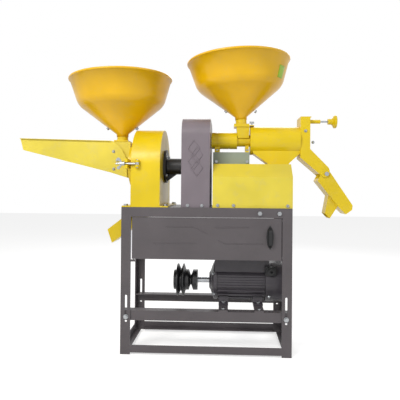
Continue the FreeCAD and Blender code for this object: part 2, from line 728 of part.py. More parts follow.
def build_guard():
    guard = body("belt_guard")
    half = guard_deep / 2
    top = stand_high + guard_high
    add(guard, "YZ", guard_left, guard_wide,
        [(-half, stand_high), (half, stand_high), (half, top, guard_corner), (-half, top, guard_corner)])
    inner = half - guard_sheet
    take(guard, "YZ", guard_left + guard_sheet, guard_wide - 2 * guard_sheet,
         [(-inner, stand_high - 5), (inner, stand_high - 5), (inner, top - guard_sheet, guard_corner - guard_sheet),
          (-inner, top - guard_sheet, guard_corner - guard_sheet)])
    for start, shaft_z in ((guard_left - 1, crusher_z), (guard_left + guard_wide - guard_sheet - 1, mill_z)):
        take(guard, "YZ", start, guard_sheet + 2,
             [(-20, stand_high - 5), (20, stand_high - 5), (20, shaft_z + 20, 19), (-20, shaft_z + 20, 19)])
    keep(guard)


# ---------------------------------------------------------------- crusher

hinge_x = crusher_left - hinge_out
latch_x = crusher_left + latch_in
bearing_housing_right = crusher_right + housing_long
rotor_face = crusher_left + 87
claw_rows = [claw_first + row * (claw_thick + claw_gap) for row in range(4)]
disc_radius = claw_rows[3] + claw_thick
turning_claw_tip = crusher_left + 26
ring_right = crusher_left + 5.7


def build_crusher():
    drum = body("crusher_drum")
    add(drum, "YZ", crusher_left, crusher_wide, ("circle", 0, crusher_z, drum_radius))
    add(drum, "YZ", crusher_left, crusher_wide, rectangle(-drum_radius, drum_radius, stand_high, crusher_z))
    add(drum, "XY", stand_high, drum_wall,
        rectangle(crusher_left - base_over, crusher_right + 33, -drum_radius, drum_radius))
    for low in (-30, 16):
        add(drum, "XY", crusher_z + low, 14, ("circle", hinge_x, hinge_back, hinge_radius))
        add(drum, "XY", crusher_z + low, 14,
            rectangle(hinge_x, crusher_left + 1, hinge_back - hinge_radius, hinge_back + hinge_radius))
    for low in (-11, 8):
        add(drum, "XY", crusher_z + low, 9, ("circle", latch_x, -latch_front, 9))
        add(drum, "XY", crusher_z + low, 9, rectangle(latch_x - 9, latch_x + 9, -latch_front, -drum_radius + 3))
    inside = crusher_left + drum_wall
    inside_wide = crusher_wide - 2 * drum_wall
    bore = drum_radius - drum_wall
    take(drum, "YZ", inside, inside_wide, ("circle", 0, crusher_z, bore))
    take(drum, "YZ", inside, inside_wide, rectangle(-bore, bore, stand_high - 1, crusher_z))
    take(drum, "YZ", crusher_left - 1, drum_wall + 2, ("circle", 0, crusher_z, drum_mouth))
    take(drum, "YZ", crusher_right - drum_wall - 1, drum_wall + 2, ("circle", 0, crusher_z, 20))
    take(drum, "XY", crusher_z - 31, 62, ("circle", hinge_x, hinge_back, 5))
    take(drum, "XY", crusher_z - 12, 30, ("circle", latch_x, -latch_front, 4))
    keep(drum)

    screen = body("crusher_screen", z=crusher_z)
    add(screen, "YZ", inside, inside_wide, ("circle", 0, 0, screen_radius + 2), ("circle", 0, 0, screen_radius))
    slot = take(screen, "YZ", inside + 10, inside_wide - 20, rectangle(-1.5, 1.5, screen_radius - 2, screen_radius + 4))
    ring_of(screen, slot, 30)
    keep(screen)

    housing = body("crusher_bearing_housing", z=crusher_z)
    tube = bearing_radius + 4
    revolve(housing, "H_Axis",
            [(crusher_right, 20), (crusher_right, 72), (crusher_right + 10, 72), (crusher_right + 10, tube, 4),
             (bearing_housing_right, tube), (bearing_housing_right, bearing_radius),
             (crusher_right + 4, bearing_radius), (crusher_right + 4, 20)])
    add(housing, "XZ", -4, 8,
        [(crusher_right + 9, -66), (crusher_right + 9, -tube + 1), (crusher_right + 52, -tube + 1)])
    keep(housing)
    keep(group("crusher_bearings",
               bearing("crusher_bearing_left", crusher_right + 4, crusher_z, crusher_shaft_radius,
                       bearing_radius, bearing_wide),
               bearing("crusher_bearing_right", bearing_housing_right - bearing_wide - 2, crusher_z,
                       crusher_shaft_radius, bearing_radius, bearing_wide)))

    keep(group("crusher_pins",
               rod("door_hinge_pin", "Z", hinge_x, hinge_back, crusher_z - 34, 5, 68),
               rod("latch_pin", "Z", latch_x, -latch_front, crusher_z - 14, 4, 34)))

    build_discharge_chute()
    build_crusher_rotor()
    build_crusher_door()
    build_latch()


def build_discharge_chute():
    """Sheet chute that leads the meal from under the drum out past the left side of the stand."""
    chute = body("discharge_chute")
    mouth_x = -half_wide - 83
    rail_low = plate_bottom - top_rail_side
    floor_end = crusher_right - 8
    roof_left = -half_wide - 7
    add(chute, "XZ", -62, 124,
        [(mouth_x, rail_low - 62), (roof_left, rail_low - 3), (crusher_left + 1, rail_low - 3),
         (crusher_left + 7, plate_bottom), (floor_end, plate_bottom), (mouth_x + 20, rail_low - 119)])
    take(chute, "XZ", -60, 120,
         [(mouth_x - 20, rail_low - 80), (roof_left, rail_low - 6), (crusher_left + 4, rail_low - 6),
          (crusher_left + 10, plate_bottom + 9), (floor_end + 8, plate_bottom + 9), (mouth_x - 20, rail_low - 146)])
    keep(chute)


def build_crusher_rotor():
    journal = crusher_shaft_radius - running_fit
    shaft = body("crusher_shaft", z=crusher_z)
    shaft_end = guard_left + 56
    revolve(shaft, "H_Axis",
            [(rotor_face - 12, 0), (rotor_face - 12, 12), (rotor_face, 12), (rotor_face, journal),
             (shaft_end - 2, journal), (shaft_end, journal - 2), (shaft_end, 0)])
    keep(shaft)

    rotor = body("claw_rotor", z=crusher_z)
    hub_right = crusher_right - drum_wall - 2
    revolve(rotor, "H_Axis",
            [(rotor_face, journal), (rotor_face, disc_radius), (rotor_face + 12, disc_radius),
             (rotor_face + 12, 28), (hub_right, 28), (hub_right, journal)])
    claw_long = rotor_face - turning_claw_tip + 1
    for row, count in ((1, 6), (3, 10)):
        inner = claw_rows[row]
        claw = add(rotor, "YZ", turning_claw_tip, claw_long, rectangle(-7, 7, inner, inner + claw_thick - 0.3))
        ring_of(rotor, claw, count)
    revolve(rotor, "H_Axis",
            [(rotor_face - 14, 12), (rotor_face - 14, 22), (rotor_face, 22), (rotor_face, 12)])
    keep(rotor)

    pulley = body("crusher_pulley", z=crusher_z)
    start = guard_left + 10
    revolve(pulley, "H_Axis",
            [(start, journal), (start, 24), (start + 10, 24), (start + 10, 55), (start + 14, 55),
             (start + 20, 42), (start + 24, 42), (start + 30, 55), (start + 34, 55), (start + 34, 24),
             (start + 44, 24), (start + 44, journal)])
    keep(pulley)


door_face = crusher_left - 0.3
door_out = crusher_left - door_boss


def build_crusher_door():
    door = body("crusher_door")
    disc = ("circle", 0, crusher_z, door_radius)
    add(door, "YZ", crusher_left - door_flange, door_flange - 0.3, disc)
    add(door, "YZ", door_out, door_boss - door_flange + 1, ("circle", 0, crusher_z, door_radius - 18))
    add(door, "XY", crusher_z - 15.7, 31.4, ("circle", hinge_x, hinge_back, hinge_radius))
    add(door, "XY", crusher_z - 15.7, 31.4,
        rectangle(hinge_x - hinge_radius, hinge_x + hinge_radius, door_radius - 30, hinge_back))
    lug_left = door_out + 4
    add(door, "XY", crusher_z - 16, 38, rectangle(lug_left, lug_left + 12, -latch_front - 8, -door_radius + 30))
    take(door, "XZ", -latch_front - 9, 16, rectangle(lug_left - 1, lug_left + 13, crusher_z - 2, crusher_z + 8))
    take(door, "YZ", door_out - 1, door_boss + 2, ("circle", 0, crusher_z, feed_hole))
    take(door, "XY", crusher_z - 17, 34, ("circle", hinge_x, hinge_back, 5 + running_fit))
    keep(door)

    claws = body("fixed_claws", z=crusher_z)
    add(claws, "YZ", door_face, ring_right - door_face, ("circle", 0, 0, claw_rows[2] + claw_thick + 3),
        ("circle", 0, 0, feed_hole))
    tip = turning_claw_tip + claw_mesh
    for row, count in ((0, 6), (2, 10)):
        inner = claw_rows[row]
        claw = add(claws, "YZ", ring_right - 1, tip - ring_right + 1,
                   rectangle(-7, 7, inner, inner + claw_thick - 0.3))
        ring_of(claws, claw, count)
    keep(claws)
    build_inlet()


throat_left = door_out - box_long
floor_slope = 0.3055
floor_left_z = crusher_z - tray_low + floor_slope * (box_long + 8)


def build_inlet():
    """Throat box on the door with its two cheeks, and the open tray that feeds it."""
    box = body("inlet_box")
    half = tray_deep / 2
    cheek_left = throat_left - 8
    cheek_right = door_out - 11
    floor_right_z = crusher_z - tray_low + floor_slope * 11
    lip_z = crusher_z + box_top + 3
    add(box, "XZ", -half, tray_deep,
        [(cheek_left, lip_z), (cheek_left + 10, lip_z, 14), (cheek_left + 50, lip_z - 36, 50),
         (cheek_left + 69, lip_z - 74, 30), (cheek_right, floor_right_z), (cheek_left, floor_left_z)])
    take(box, "XZ", -half + sheet_thick, tray_deep - 2 * sheet_thick,
         [(cheek_left - 10, lip_z + 5), (cheek_right + 20, lip_z + 5), (cheek_right + 20, floor_right_z - 3.9),
          (cheek_right, floor_right_z + 2.2), (cheek_left - 10, floor_left_z + 5.3)])
    inner = half - 10
    add(box, "XZ", -inner, 2 * inner,
        [(throat_left, crusher_z + box_top), (door_out, crusher_z + box_top), (door_out, crusher_z - tray_low),
         (throat_left, crusher_z - tray_low + floor_slope * box_long)])
    take(box, "XZ", -inner + 3, 2 * inner - 6,
         [(throat_left - 20, crusher_z + box_top - 3), (door_out - 3, crusher_z + box_top - 3),
          (door_out - 3, crusher_z - tray_low + 4), (throat_left - 20, crusher_z - tray_low + 32.4)])
    take(box, "YZ", door_out - 4, 5, ("circle", 0, crusher_z, feed_hole))
    take(box, "XY", crusher_z + box_top - 4, 5, ("circle", left_neck_x, 0, neck_radius - sheet_thick))
    keep(box)

    tray = body("feed_tray")
    tray_left = cheek_left - tray_long
    top_left_z, top_right_z = lip_z + 9, lip_z
    add(tray, "XZ", -half, tray_deep,
        [(tray_left, top_left_z), (cheek_left, top_right_z), (cheek_left, floor_left_z),
         (tray_left + 13, floor_left_z + tray_rise)])
    add(tray, "XZ", -half - tray_lip, tray_deep + 2 * tray_lip,
        [(tray_left, top_left_z), (cheek_left, top_right_z), (cheek_left, top_right_z - 2),
         (tray_left + 1, top_left_z - 2)])
    take(tray, "XZ", -half + sheet_thick, tray_deep - 2 * sheet_thick,
         [(tray_left + 2.5, top_left_z + 10), (cheek_left + 10, top_right_z + 10),
          (cheek_left + 10, floor_left_z + 0.1), (cheek_left, floor_left_z + 2.3),
          (tray_left + 15, floor_left_z + tray_rise + 2.3)])
    keep(tray)


def build_latch():
    latch = body("latch_rod")
    rod_z = crusher_z + 3
    lug_left = door_out + 4
    add(latch, "XY", rod_z - 4.7, 9.4, ("circle", latch_x, -latch_front, 9))
    reach = latch_x - lug_left + 37
    add(latch, "YZ", latch_x - reach, reach - 6, ("circle", -latch_front, rod_z, latch_rod_radius))
    take(latch, "XY", rod_z - 6, 12, ("circle", latch_x, -latch_front, 4 + running_fit))
    keep(latch)

    nut = body("latch_nut")
    add(nut, "YZ", lug_left - 2.3, 2, ("circle", -latch_front, rod_z, 12))
    add(nut, "YZ", lug_left - 14.3, 12.1, ("circle", -latch_front, rod_z, 8))
    add(nut, "YZ", lug_left - 20.3, 6.5, ("circle", -latch_front, rod_z, 6.5))
    for side in (-1, 1):
        add(nut, "XZ", -latch_front - 2, 4,
            [(lug_left - 11, rod_z + side * 6), (lug_left - 18, rod_z + side * 6),
             (lug_left - 32, rod_z + side * 14, 3), (lug_left - 32, rod_z + side * 24, 5),
             (lug_left - 22, rod_z + side * 24, 5)])
    take(nut, "YZ", lug_left - 40, 40, ("circle", -latch_front, rod_z, latch_rod_radius))
    keep(nut)


# ---------------------------------------------------------------- hoppers, necks and gates

def hopper(label, x, z, neck_long, degrees):
    """Spun hopper with a collar that slips over its neck, a crease and a rolled rim."""
    shell = body(label, x, 0, z)
    lean(shell, degrees)
    rim_z = neck_long + hopper_high
    crease_z = rim_z - hopper_crease
    rim = hopper_radius
    revolve(shell, "V_Axis",
            [(neck_radius, neck_long - 12), (neck_radius + sheet_thick, neck_long - 12),
             (neck_radius + sheet_thick, neck_long - 1.6), (crease_radius + 1.8, crease_z - 1.6, 20),
             (rim + 1, rim_z), (rim - 1, rim_z), (crease_radius, crease_z, 18), (neck_radius, neck_long)])
    revolve(shell, "V_Axis", ("circle", rim, rim_z, rim_roll))
    keep(shell)


def leaning_tube(label, base, x, z, long, degrees):
    """A flange with a leaning tube on it, bored along the tube."""
    outer = lean(rod(label + "_tube", "Z", x, 0, z, neck_radius, long), degrees)
    bore = lean(rod(label + "_bore", "Z", x, 0, z, neck_radius - sheet_thick, long + 10), degrees)
    mouth = rod(label + "_mouth", "Z", x, 0, z - 10, neck_radius - sheet_thick + 0.6, 11.5)
    keep(cut(label, fuse(label + "_body", base, outer), fuse(label + "_hollow", bore, mouth)))


right_gate_z = mill_z + 62
left_gate_z = crusher_z + box_top


def build_hoppers():
    flange = body("left_neck_flange")
    add(flange, "XY", left_gate_z, 9, rectangle(left_neck_x - 31, left_neck_x + 31, -36, 36))
    take(flange, "XY", left_gate_z - 1, 5, rectangle(left_neck_x - 26, left_neck_x + 26, -37, 34))
    leaning_tube("left_neck", flange, left_neck_x, left_gate_z + 6, left_neck_long, -left_lean)
    hopper("left_hopper", left_neck_x, left_gate_z + 6, left_neck_long, -left_lean)

    gate = body("left_gate")
    add(gate, "XY", left_gate_z + 0.2, 3.5, rectangle(left_neck_x - 25.7, left_neck_x + 25.7, -52, 33))
    add(gate, "XY", left_gate_z + 0.2, 10, rectangle(left_neck_x - 14, left_neck_x + 14, -52, -49))
    keep(gate)

    flange = body("right_neck_flange")
    add(flange, "XY", right_gate_z, 9, rectangle(right_neck_x - 32, right_neck_x + 33, -36, 36))
    take(flange, "XY", right_gate_z - 1, 5, rectangle(right_neck_x - 30, right_neck_x + 34, -28, 28))
    leaning_tube("right_neck", flange, right_neck_x, right_gate_z + 6, right_neck_long, -right_lean)
    hopper("right_hopper", right_neck_x, right_gate_z + 6, right_neck_long, -right_lean)

    gate = body("right_gate")
    add(gate, "XY", right_gate_z + 0.2, 3.5, rectangle(right_neck_x - 29, right_neck_x + 55, -27.7, 27.7))
    keep(gate)
    grip_x = right_neck_x + 46
    stem = rod("gate_screw_stem", "Z", grip_x, 0, right_gate_z + 3.7, 4, 12)
    wings = block("gate_screw_wings", grip_x - 10, -2, right_gate_z + 14, 20, 4, 9)
    keep(fuse("gate_screw", stem, wings))


# ---------------------------------------------------------------- rice mill

def build_mill():
    bracket = body("mill_bracket")
    half = bracket_deep / 2
    bracket_top = mill_z - mill_foot_high
    add(bracket, "XY", stand_high, bracket_top - stand_high,
        rectangle(bracket_left, bracket_left + bracket_wide, -half, half))
    add(bracket, "XY", stand_high, 6,
        rectangle(bracket_left, bracket_left + bracket_wide, -half - 25, half + 25))
    take(bracket, "YZ", bracket_left - 1, bracket_wide + 2,
         rectangle(-half + 6, half - 6, stand_high - 1, bracket_top - 6, 4))
    keep(bracket)

    housing = body("mill_housing", z=mill_z)
    outer = mill_housing_radius
    groove = outer - 1.5
    wall_x = mill_left + 111
    revolve(housing, "H_Axis",
            [(mill_left, mill_bearing_radius), (mill_left, outer), (mill_left + 23, outer), (mill_left + 23, groove),
             (mill_left + 27, groove), (mill_left + 27, outer), (mill_left + 74, outer), (mill_left + 74, groove),
             (mill_left + 78, groove), (mill_left + 78, outer), (wall_x, outer), (wall_x, throat_radius),
             (cover_left + 3, throat_radius), (cover_left + 3, throat_bore), (wall_x - 5, throat_bore),
             (wall_x - 5, 14), (wall_x - 12, 14), (wall_x - 12, mill_bearing_radius)])
    box_left, box_right = right_neck_x - 22, right_neck_x + 35
    add(housing, "XZ", -31, 62, [(box_left + 7, 10), (box_right - 3, 10), (box_right, 62), (box_left, 62)])
    add(housing, "XY", 58, 4, rectangle(right_neck_x - 32, box_right, -36, 36))
    for left, right, top in ((mill_left + 14, mill_left + 36, 28), (cover_left - 21, cover_left - 6, 22.5)):
        add(housing, "XY", -mill_foot_high, mill_foot_high - top, rectangle(left, right, -30, 30))
        add(housing, "XY", -mill_foot_high, 8, rectangle(left, right, -44, 44))
    take(housing, "YZ", wall_x - 5, 62, ("circle", 0, 0, throat_bore))
    take(housing, "XY", 0, 63, ("circle", right_neck_x, 0, throat_bore - 1))
    keep(housing)
    keep(group("mill_bearings",
               bearing("mill_bearing_left", mill_left + 4, mill_z, mill_shaft_radius, mill_bearing_radius, 15),
               bearing("mill_bearing_right", wall_x - 27, mill_z, mill_shaft_radius, mill_bearing_radius, 15)))

    build_mill_rotor(wall_x)
    build_bran_cover()
    build_base_cover()


def build_mill_rotor(wall_x):
    journal = mill_shaft_radius - running_fit
    shaft_start = guard_left + 60
    shaft = body("mill_shaft", z=mill_z)
    cover_right = cover_left + cover_long
    revolve(shaft, "H_Axis",
            [(shaft_start, 0), (shaft_start, 11), (mill_left - 2, 11), (mill_left - 2, journal),
             (cover_right - 4, journal), (cover_right - 4, 0)])
    keep(shaft)

    roller = body("mill_roller", z=mill_z)
    roller_left = cover_left + 6
    revolve(roller, "H_Axis",
            [(wall_x - 2, journal), (wall_x - 2, 15), (roller_left, 15), (roller_left + 10, roller_radius),
             (cover_right - 10, roller_radius), (cover_right - 7, roller_radius - 3), (cover_right - 7, journal)])
    knife = add(roller, "YZ", roller_left + 8, cover_long - 22,
                rectangle(-3, 3, roller_radius - 2, roller_radius + 6))
    ring_of(roller, knife, 3)
    flight = sketch_on(roller, "XZ", 0)
    draw(flight, [rectangle(wall_x + 1, wall_x + 6, 14, throat_bore - 1)])
    screw = roller.newObject("PartDesign::AdditiveHelix", "mill_roller_flight")
    screw.Profile = flight
    screw.ReferenceAxis = (flight, ["H_Axis"])
    screw.Mode = "pitch-height-angle"
    screw.Pitch = 22
    screw.Height = 50
    keep(roller)

    pulley = body("mill_pulley", z=mill_z)
    start = guard_left + 64
    revolve(pulley, "H_Axis",
            [(start, 11), (start, 60), (start + 4, 60), (start + 11, 46), (start + 15, 46), (start + 22, 60),
             (start + 26, 60), (start + 26, 22), (start + 44, 22), (start + 44, 11)])
    keep(pulley)

    sieve = body("rice_sieve", z=mill_z)
    add(sieve, "YZ", cover_left + 3, cover_long - 3, ("circle", 0, 0, sieve_radius),
        ("circle", 0, 0, sieve_radius - 1.5))
    row = take(sieve, "XY", sieve_radius - 4, 8,
               *[rectangle(cover_left + left, cover_left + left + 44, -1.2, 1.2) for left in (18, 84, 150)])
    ring_of(sieve, row, 14)
    keep(sieve)


def build_bran_cover():
    """Round cover of the sieve with the sloping bran hopper welded under it."""
    cover = body("bran_cover", z=mill_z)
    left, right = cover_left, cover_left + cover_long
    add(cover, "YZ", left, cover_long, ("circle", 0, 0, cover_radius))
    low = -cover_radius + 5
    add(cover, "XZ", -40, 80,
        [(left + 12, low + 26), (right, low + 26), (right, low), (right - 43, low - 40), (right - 58, low - 61),
         (right - 118, low - 61), (right - 144, low - 40), (left + 12, low)])
    take(cover, "XZ", -38, 76,
         [(left + 14, low + 27), (right - 3, low + 27), (right - 3, low + 2), (right - 46, low - 39),
          (right - 61, low - 63), (right - 116, low - 63), (right - 141, low - 39), (left + 14, low + 2)])
    take(cover, "YZ", left + 3, cover_long - 6, ("circle", 0, 0, cover_radius - 2))
    take(cover, "YZ", left - 1, 5, ("circle", 0, 0, throat_radius))
    take(cover, "YZ", right - 4, 5, ("circle", 0, 0, sieve_radius))
    keep(cover)


def build_base_cover():
    """Folded sheet hood over the foot of the mill, bevelled at the front and the rear."""
    cover = body("base_cover")
    half = base_deep / 2
    top = stand_high + base_high
    shoulder = top - base_bevel
    gap = guard_sheet
    add(cover, "YZ", base_left, base_wide,
        [(-half, stand_high), (half, stand_high), (half, shoulder), (half - base_bevel, top),
         (-half + base_bevel, top), (-half, shoulder)])
    take(cover, "YZ", base_left - 1, base_wide - gap + 1,
         [(-half + gap, stand_high - 1), (half - gap, stand_high - 1), (half - gap, shoulder - 0.8),
          (half - base_bevel - 0.8, top - gap), (-half + base_bevel + 0.8, top - gap), (-half + gap, shoulder - 0.8)])
    bracket_half = bracket_deep / 2 + 1
    take(cover, "XY", top - 5, 10,
         rectangle(base_left - 5, bracket_left + bracket_wide + 2, -bracket_half, bracket_half))
    take(cover, "XY", top - 5, 10,
         rectangle(cover_left + 70, cover_left + cover_long - 48.5, -44, 44))
    take(cover, "XZ", half - 5, 10,
         rectangle(base_left + 170, base_left + 306, stand_high + 15, stand_high + 105, 8))
    keep(cover)


# ---------------------------------------------------------------- rice outlet

head_left = cover_left + cover_long
head_right = head_left + head_wide
pivot_z = mill_z - chute_pivot_drop


def build_outlet():
    """Outlet head with its upper chute: one welded sheet piece that is open on top of the chute."""
    head = body("outlet_head")
    half = head_deep / 2
    top = mill_z + head_top
    add(head, "XZ", -half, head_deep,
        [(head_left, top), (head_right, top), (head_right, mill_z - 38), (chute_pivot_x + 13, pivot_z + 22, 30),
         (chute_pivot_x + 12, pivot_z - 22, 18), (chute_pivot_x - 14, pivot_z - 14, 10),
         (chute_pivot_x - 33, pivot_z + 2), (head_left, mill_z - 75)])
    take(head, "XZ", -half + 3, head_deep - 6,
         [(head_left + 3, top - 3), (head_right - 3, top - 3), (head_right - 3, mill_z - 30),
          (chute_pivot_x + 40, mill_z - 30), (chute_pivot_x + 40, pivot_z - 50),
          (chute_pivot_x - 31, pivot_z - 50), (chute_pivot_x - 31, pivot_z + 4.2), (head_left + 3, mill_z - 74.2)])
    add(head, "XY", top - 3, 3, rectangle(head_right - 1, head_right + 4, -half, half))
    screw_z = mill_z + screw_rise
    add(head, "YZ", head_right - 1, 52, ("circle", 0, screw_z, 8.5))
    take(head, "YZ", head_left - 1, 5, ("circle", 0, mill_z, sieve_radius - 2))
    take(head, "YZ", head_right - 5, 60, ("circle", 0, screw_z, screw_radius + running_fit))
    take(head, "XZ", -half - 1, head_deep + 2,
         ("circle", head_left + 21, mill_z + flap_rise, 3 + running_fit),
         ("circle", chute_pivot_x, pivot_z, 5))
    keep(head)

    flap = body("pressure_flap")
    pin_x, pin_z = head_left + 21, mill_z + flap_rise
    add(flap, "XZ", -half - 2, head_deep + 4, ("circle", pin_x, pin_z, 3))
    add(flap, "XZ", -half - 4, 4, ("circle", pin_x, pin_z, 6))
    add(flap, "XZ", -36, 72, ("circle", pin_x, pin_z, 7))
    add(flap, "XZ", -43, 86,
        [(head_left + 5, mill_z - 40), (head_left + 9, mill_z - 40), (head_left + 9, pin_z - 15),
         (pin_x + 4, pin_z - 3), (pin_x - 3, pin_z + 3), (head_left + 5, pin_z - 12)])
    add(flap, "XZ", -12, 24,
        [(pin_x - 3, pin_z), (pin_x + 3, pin_z), (pin_x + 3, pin_z + 52), (pin_x - 3, pin_z + 52)])
    keep(flap)

    screw = rod("pressure_screw", "X", pin_x + 3.3, 0, mill_z + screw_rise, screw_radius, 120)
    keep(screw)
    knob = body("pressure_knob", head_right + 84, 0, mill_z + screw_rise)
    fit = screw_radius + running_fit
    revolve(knob, "H_Axis",
            [(0, fit), (0, 12.5), (14, 12.5), (20, 17, 6), (26, 28), (36, 28, 3), (36, fit)])
    keep(knob)

    chute = body("lower_chute")
    span = half - 4
    px, pz = chute_pivot_x, pivot_z
    add(chute, "XZ", -span, 2 * span,
        [(px + 16.4, pz + 6.4, 8), (px + 110.4, pz - 132.6), (px + 108.4, pz - 151.6), (px + 82.4, pz - 170.6),
         (px + 54.4, pz - 143.6), (px - 37, pz - 29.6), (px - 23.6, pz - 3.6), (px - 5.6, pz + 13.4, 8)])
    take(chute, "XZ", -span + 3, 2 * span - 6,
         [(px + 40, pz + 40), (px + 140, pz - 100), (px + 140, pz - 190), (px + 86, pz - 170.6),
          (px + 56.5, pz - 141.5), (px - 32, pz - 31), (px - 30, pz + 40)])
    spout_span = span - 14
    add(chute, "XZ", -spout_span, 2 * spout_span,
        [(px + 12, pz - 89.5), (px - 2.6, pz - 168.6), (px + 18, pz - 189.6), (px + 51, pz - 137.5)])
    take(chute, "XZ", -spout_span + 2, 2 * spout_span - 4,
         [(px + 16, pz - 85), (px + 1.2, pz - 165), (px - 8, pz - 178), (px + 10, pz - 198), (px + 17, pz - 188),
          (px + 48, pz - 139), (px + 50, pz - 128)])
    take(chute, "XZ", -span - 1, 2 * span + 2, ("circle", px, pz, 5 + running_fit))
    keep(chute)


def build_bolts():
    """Hexagon bolts that hold the crusher, its bearing housing and the mill, and the chute pivots."""
    bolts = []
    flange_top = stand_high + drum_wall
    for index, x in enumerate((crusher_left - 22, crusher_right + 22)):
        front = hexagon("crusher_bolt_%d" % index, "Z", x, -142, flange_top, 9, 7)
        bolts += [front, mirrored("crusher_bolt_rear_%d" % index, front, 0, 1)]
    for index, (side, level) in enumerate(((-1, -1), (-1, 1), (1, -1), (1, 1))):
        bolts.append(hexagon("housing_bolt_%d" % index, "X", crusher_right + 10, side * 40,
                             crusher_z + level * 40, 7.5, 6))
    for index, x in enumerate((mill_left + 25, cover_left - 13.5)):
        foot = hexagon("mill_bolt_%d" % index, "Z", x, -37, mill_z - mill_foot_high + 8, 6, 5)
        bolts += [foot, mirrored("mill_bolt_rear_%d" % index, foot, 0, 1)]
    for index, x in enumerate((bracket_left + 14, bracket_left + bracket_wide - 10)):
        bolts.append(hexagon("bracket_bolt_%d" % index, "Y", x, -bracket_deep / 2 - 5,
                             mill_z - mill_foot_high - 40, 6.5, 5))
    half = head_deep / 2
    pivot = fuse("chute_pivot",
                 rod("chute_pivot_head", "Y", chute_pivot_x, -half - 5, pivot_z, 9, 5),
                 rod("chute_pivot_shank", "Y", chute_pivot_x, -half - 1, pivot_z, 5, 9))
    bolts += [pivot, mirrored("chute_pivot_rear", pivot, 0, 1)]
    keep(group("machine_bolts", *bolts))


# ---------------------------------------------------------------- build, check and write

def check_and_write():
    doc.recompute()
    for item in doc.Objects:
        if "Invalid" in item.State or "Error" in item.State:
            raise RuntimeError("%s failed: %s" % (item.Label, item.State))
    os.makedirs("parts", exist_ok=True)
    for piece in nodes:
        if piece.Shape.isNull() or not piece.Shape.isValid():
            raise RuntimeError("%s has no valid shape" % piece.Label)
        piece.Shape.exportStep("parts/%s.step" % piece.Label)


build_stand()
build_door()
build_bed()
build_motor()
build_motor_rotor()
build_guard()
build_crusher()
build_hoppers()
build_mill()
build_outlet()
build_bolts()
check_and_write()
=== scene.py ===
"""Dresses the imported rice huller: enamel, metal and plastic finishes, spun hoppers, the guard's ornament,
door beads, a bare label, fasteners, and the studio round it. Sizes and the studio are in metres, the places
of pieces in millimetres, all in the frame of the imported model."""

from math import cos, radians, sin, tau

import bmesh
import bpy
from mathutils import Matrix, Vector


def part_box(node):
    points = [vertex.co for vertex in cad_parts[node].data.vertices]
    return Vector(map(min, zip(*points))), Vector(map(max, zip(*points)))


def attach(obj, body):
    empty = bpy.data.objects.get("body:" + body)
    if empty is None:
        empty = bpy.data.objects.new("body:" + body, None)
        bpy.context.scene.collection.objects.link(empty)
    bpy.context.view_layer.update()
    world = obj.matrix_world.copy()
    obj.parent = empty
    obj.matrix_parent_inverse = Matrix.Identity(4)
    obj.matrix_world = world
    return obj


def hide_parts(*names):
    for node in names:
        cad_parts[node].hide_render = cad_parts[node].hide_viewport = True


bl_info = {
    "name": "Rice huller dressing",
    "version": (1, 0, 0),
    "blender": (4, 5, 0),
    "location": "3D View > Sidebar > Huller",
    "description": "Builds the visible pieces and finishes of a rice huller round its packed model",
    "category": "Object",
}

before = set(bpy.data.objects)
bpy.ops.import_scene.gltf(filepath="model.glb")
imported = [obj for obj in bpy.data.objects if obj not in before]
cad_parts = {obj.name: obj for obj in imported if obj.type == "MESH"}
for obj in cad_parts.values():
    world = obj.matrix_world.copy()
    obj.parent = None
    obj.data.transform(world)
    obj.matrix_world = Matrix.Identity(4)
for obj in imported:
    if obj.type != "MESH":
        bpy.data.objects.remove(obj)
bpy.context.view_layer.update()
MM = 0.001

# a hopper's place in millimetres, its collar's top above that in metres, and its lean to the left in degrees
LEFT_HOPPER = {"place": (-380, 0, 877), "collar_top": 0.032, "lean": 1.9}
RIGHT_HOPPER = {"place": (143, 0, 950), "collar_top": 0.036, "lean": 3.0}
MOTOR_AXIS_Z = 273


def linear(code):
    """Turns an sRGB hex colour into linear red, green, blue and alpha."""
    parts = [int(code[i:i + 2], 16) / 255 for i in (0, 2, 4)]
    return [p / 12.92 if p <= 0.04045 else ((p + 0.055) / 1.055) ** 2.4 for p in parts] + [1.0]


def shade(colour, share):
    """The same colour, darker below a share of 1 and lighter above it."""
    return [min(1.0, part * share) for part in colour[:3]] + [1.0]


# ---------------------------------------------------------------- settings

def length_setting(label, meaning, default):
    """A length in metres that the panel shows."""
    return bpy.props.FloatProperty(name=label, description=meaning, default=default, unit="LENGTH")


def colour_setting(label, meaning, code):
    """A colour, from its sRGB hex code, that the panel shows."""
    return bpy.props.FloatVectorProperty(name=label, description=meaning, default=linear(code), size=4,
                                         subtype="COLOR", min=0, max=1)


class HullerSizes(bpy.types.PropertyGroup):
    """Sizes of the pieces that this file makes."""
    rim_radius: length_setting("Rim radius", "Radius of both hoppers at the rolled rim", 0.220)
    rim_roll: length_setting("Rim roll", "Radius of the rolled rim", 0.005)
    crease_radius: length_setting("Crease radius", "Radius where the wall turns into the cone", 0.185)
    crease_drop: length_setting("Crease drop", "Crease below the rim", 0.108)
    hopper_height: length_setting("Hopper height", "Neck to rim", 0.238)
    neck_radius: length_setting("Neck radius", "Radius of the neck under the cone", 0.024)
    sheet: length_setting("Sheet", "Thickness of the spun sheet", 0.0018)
    ornament_line: length_setting("Ornament line", "Width of the raised lines on the guard", 0.0044)
    bead_line: length_setting("Door bead", "Width of the raised beads on the door", 0.0040)


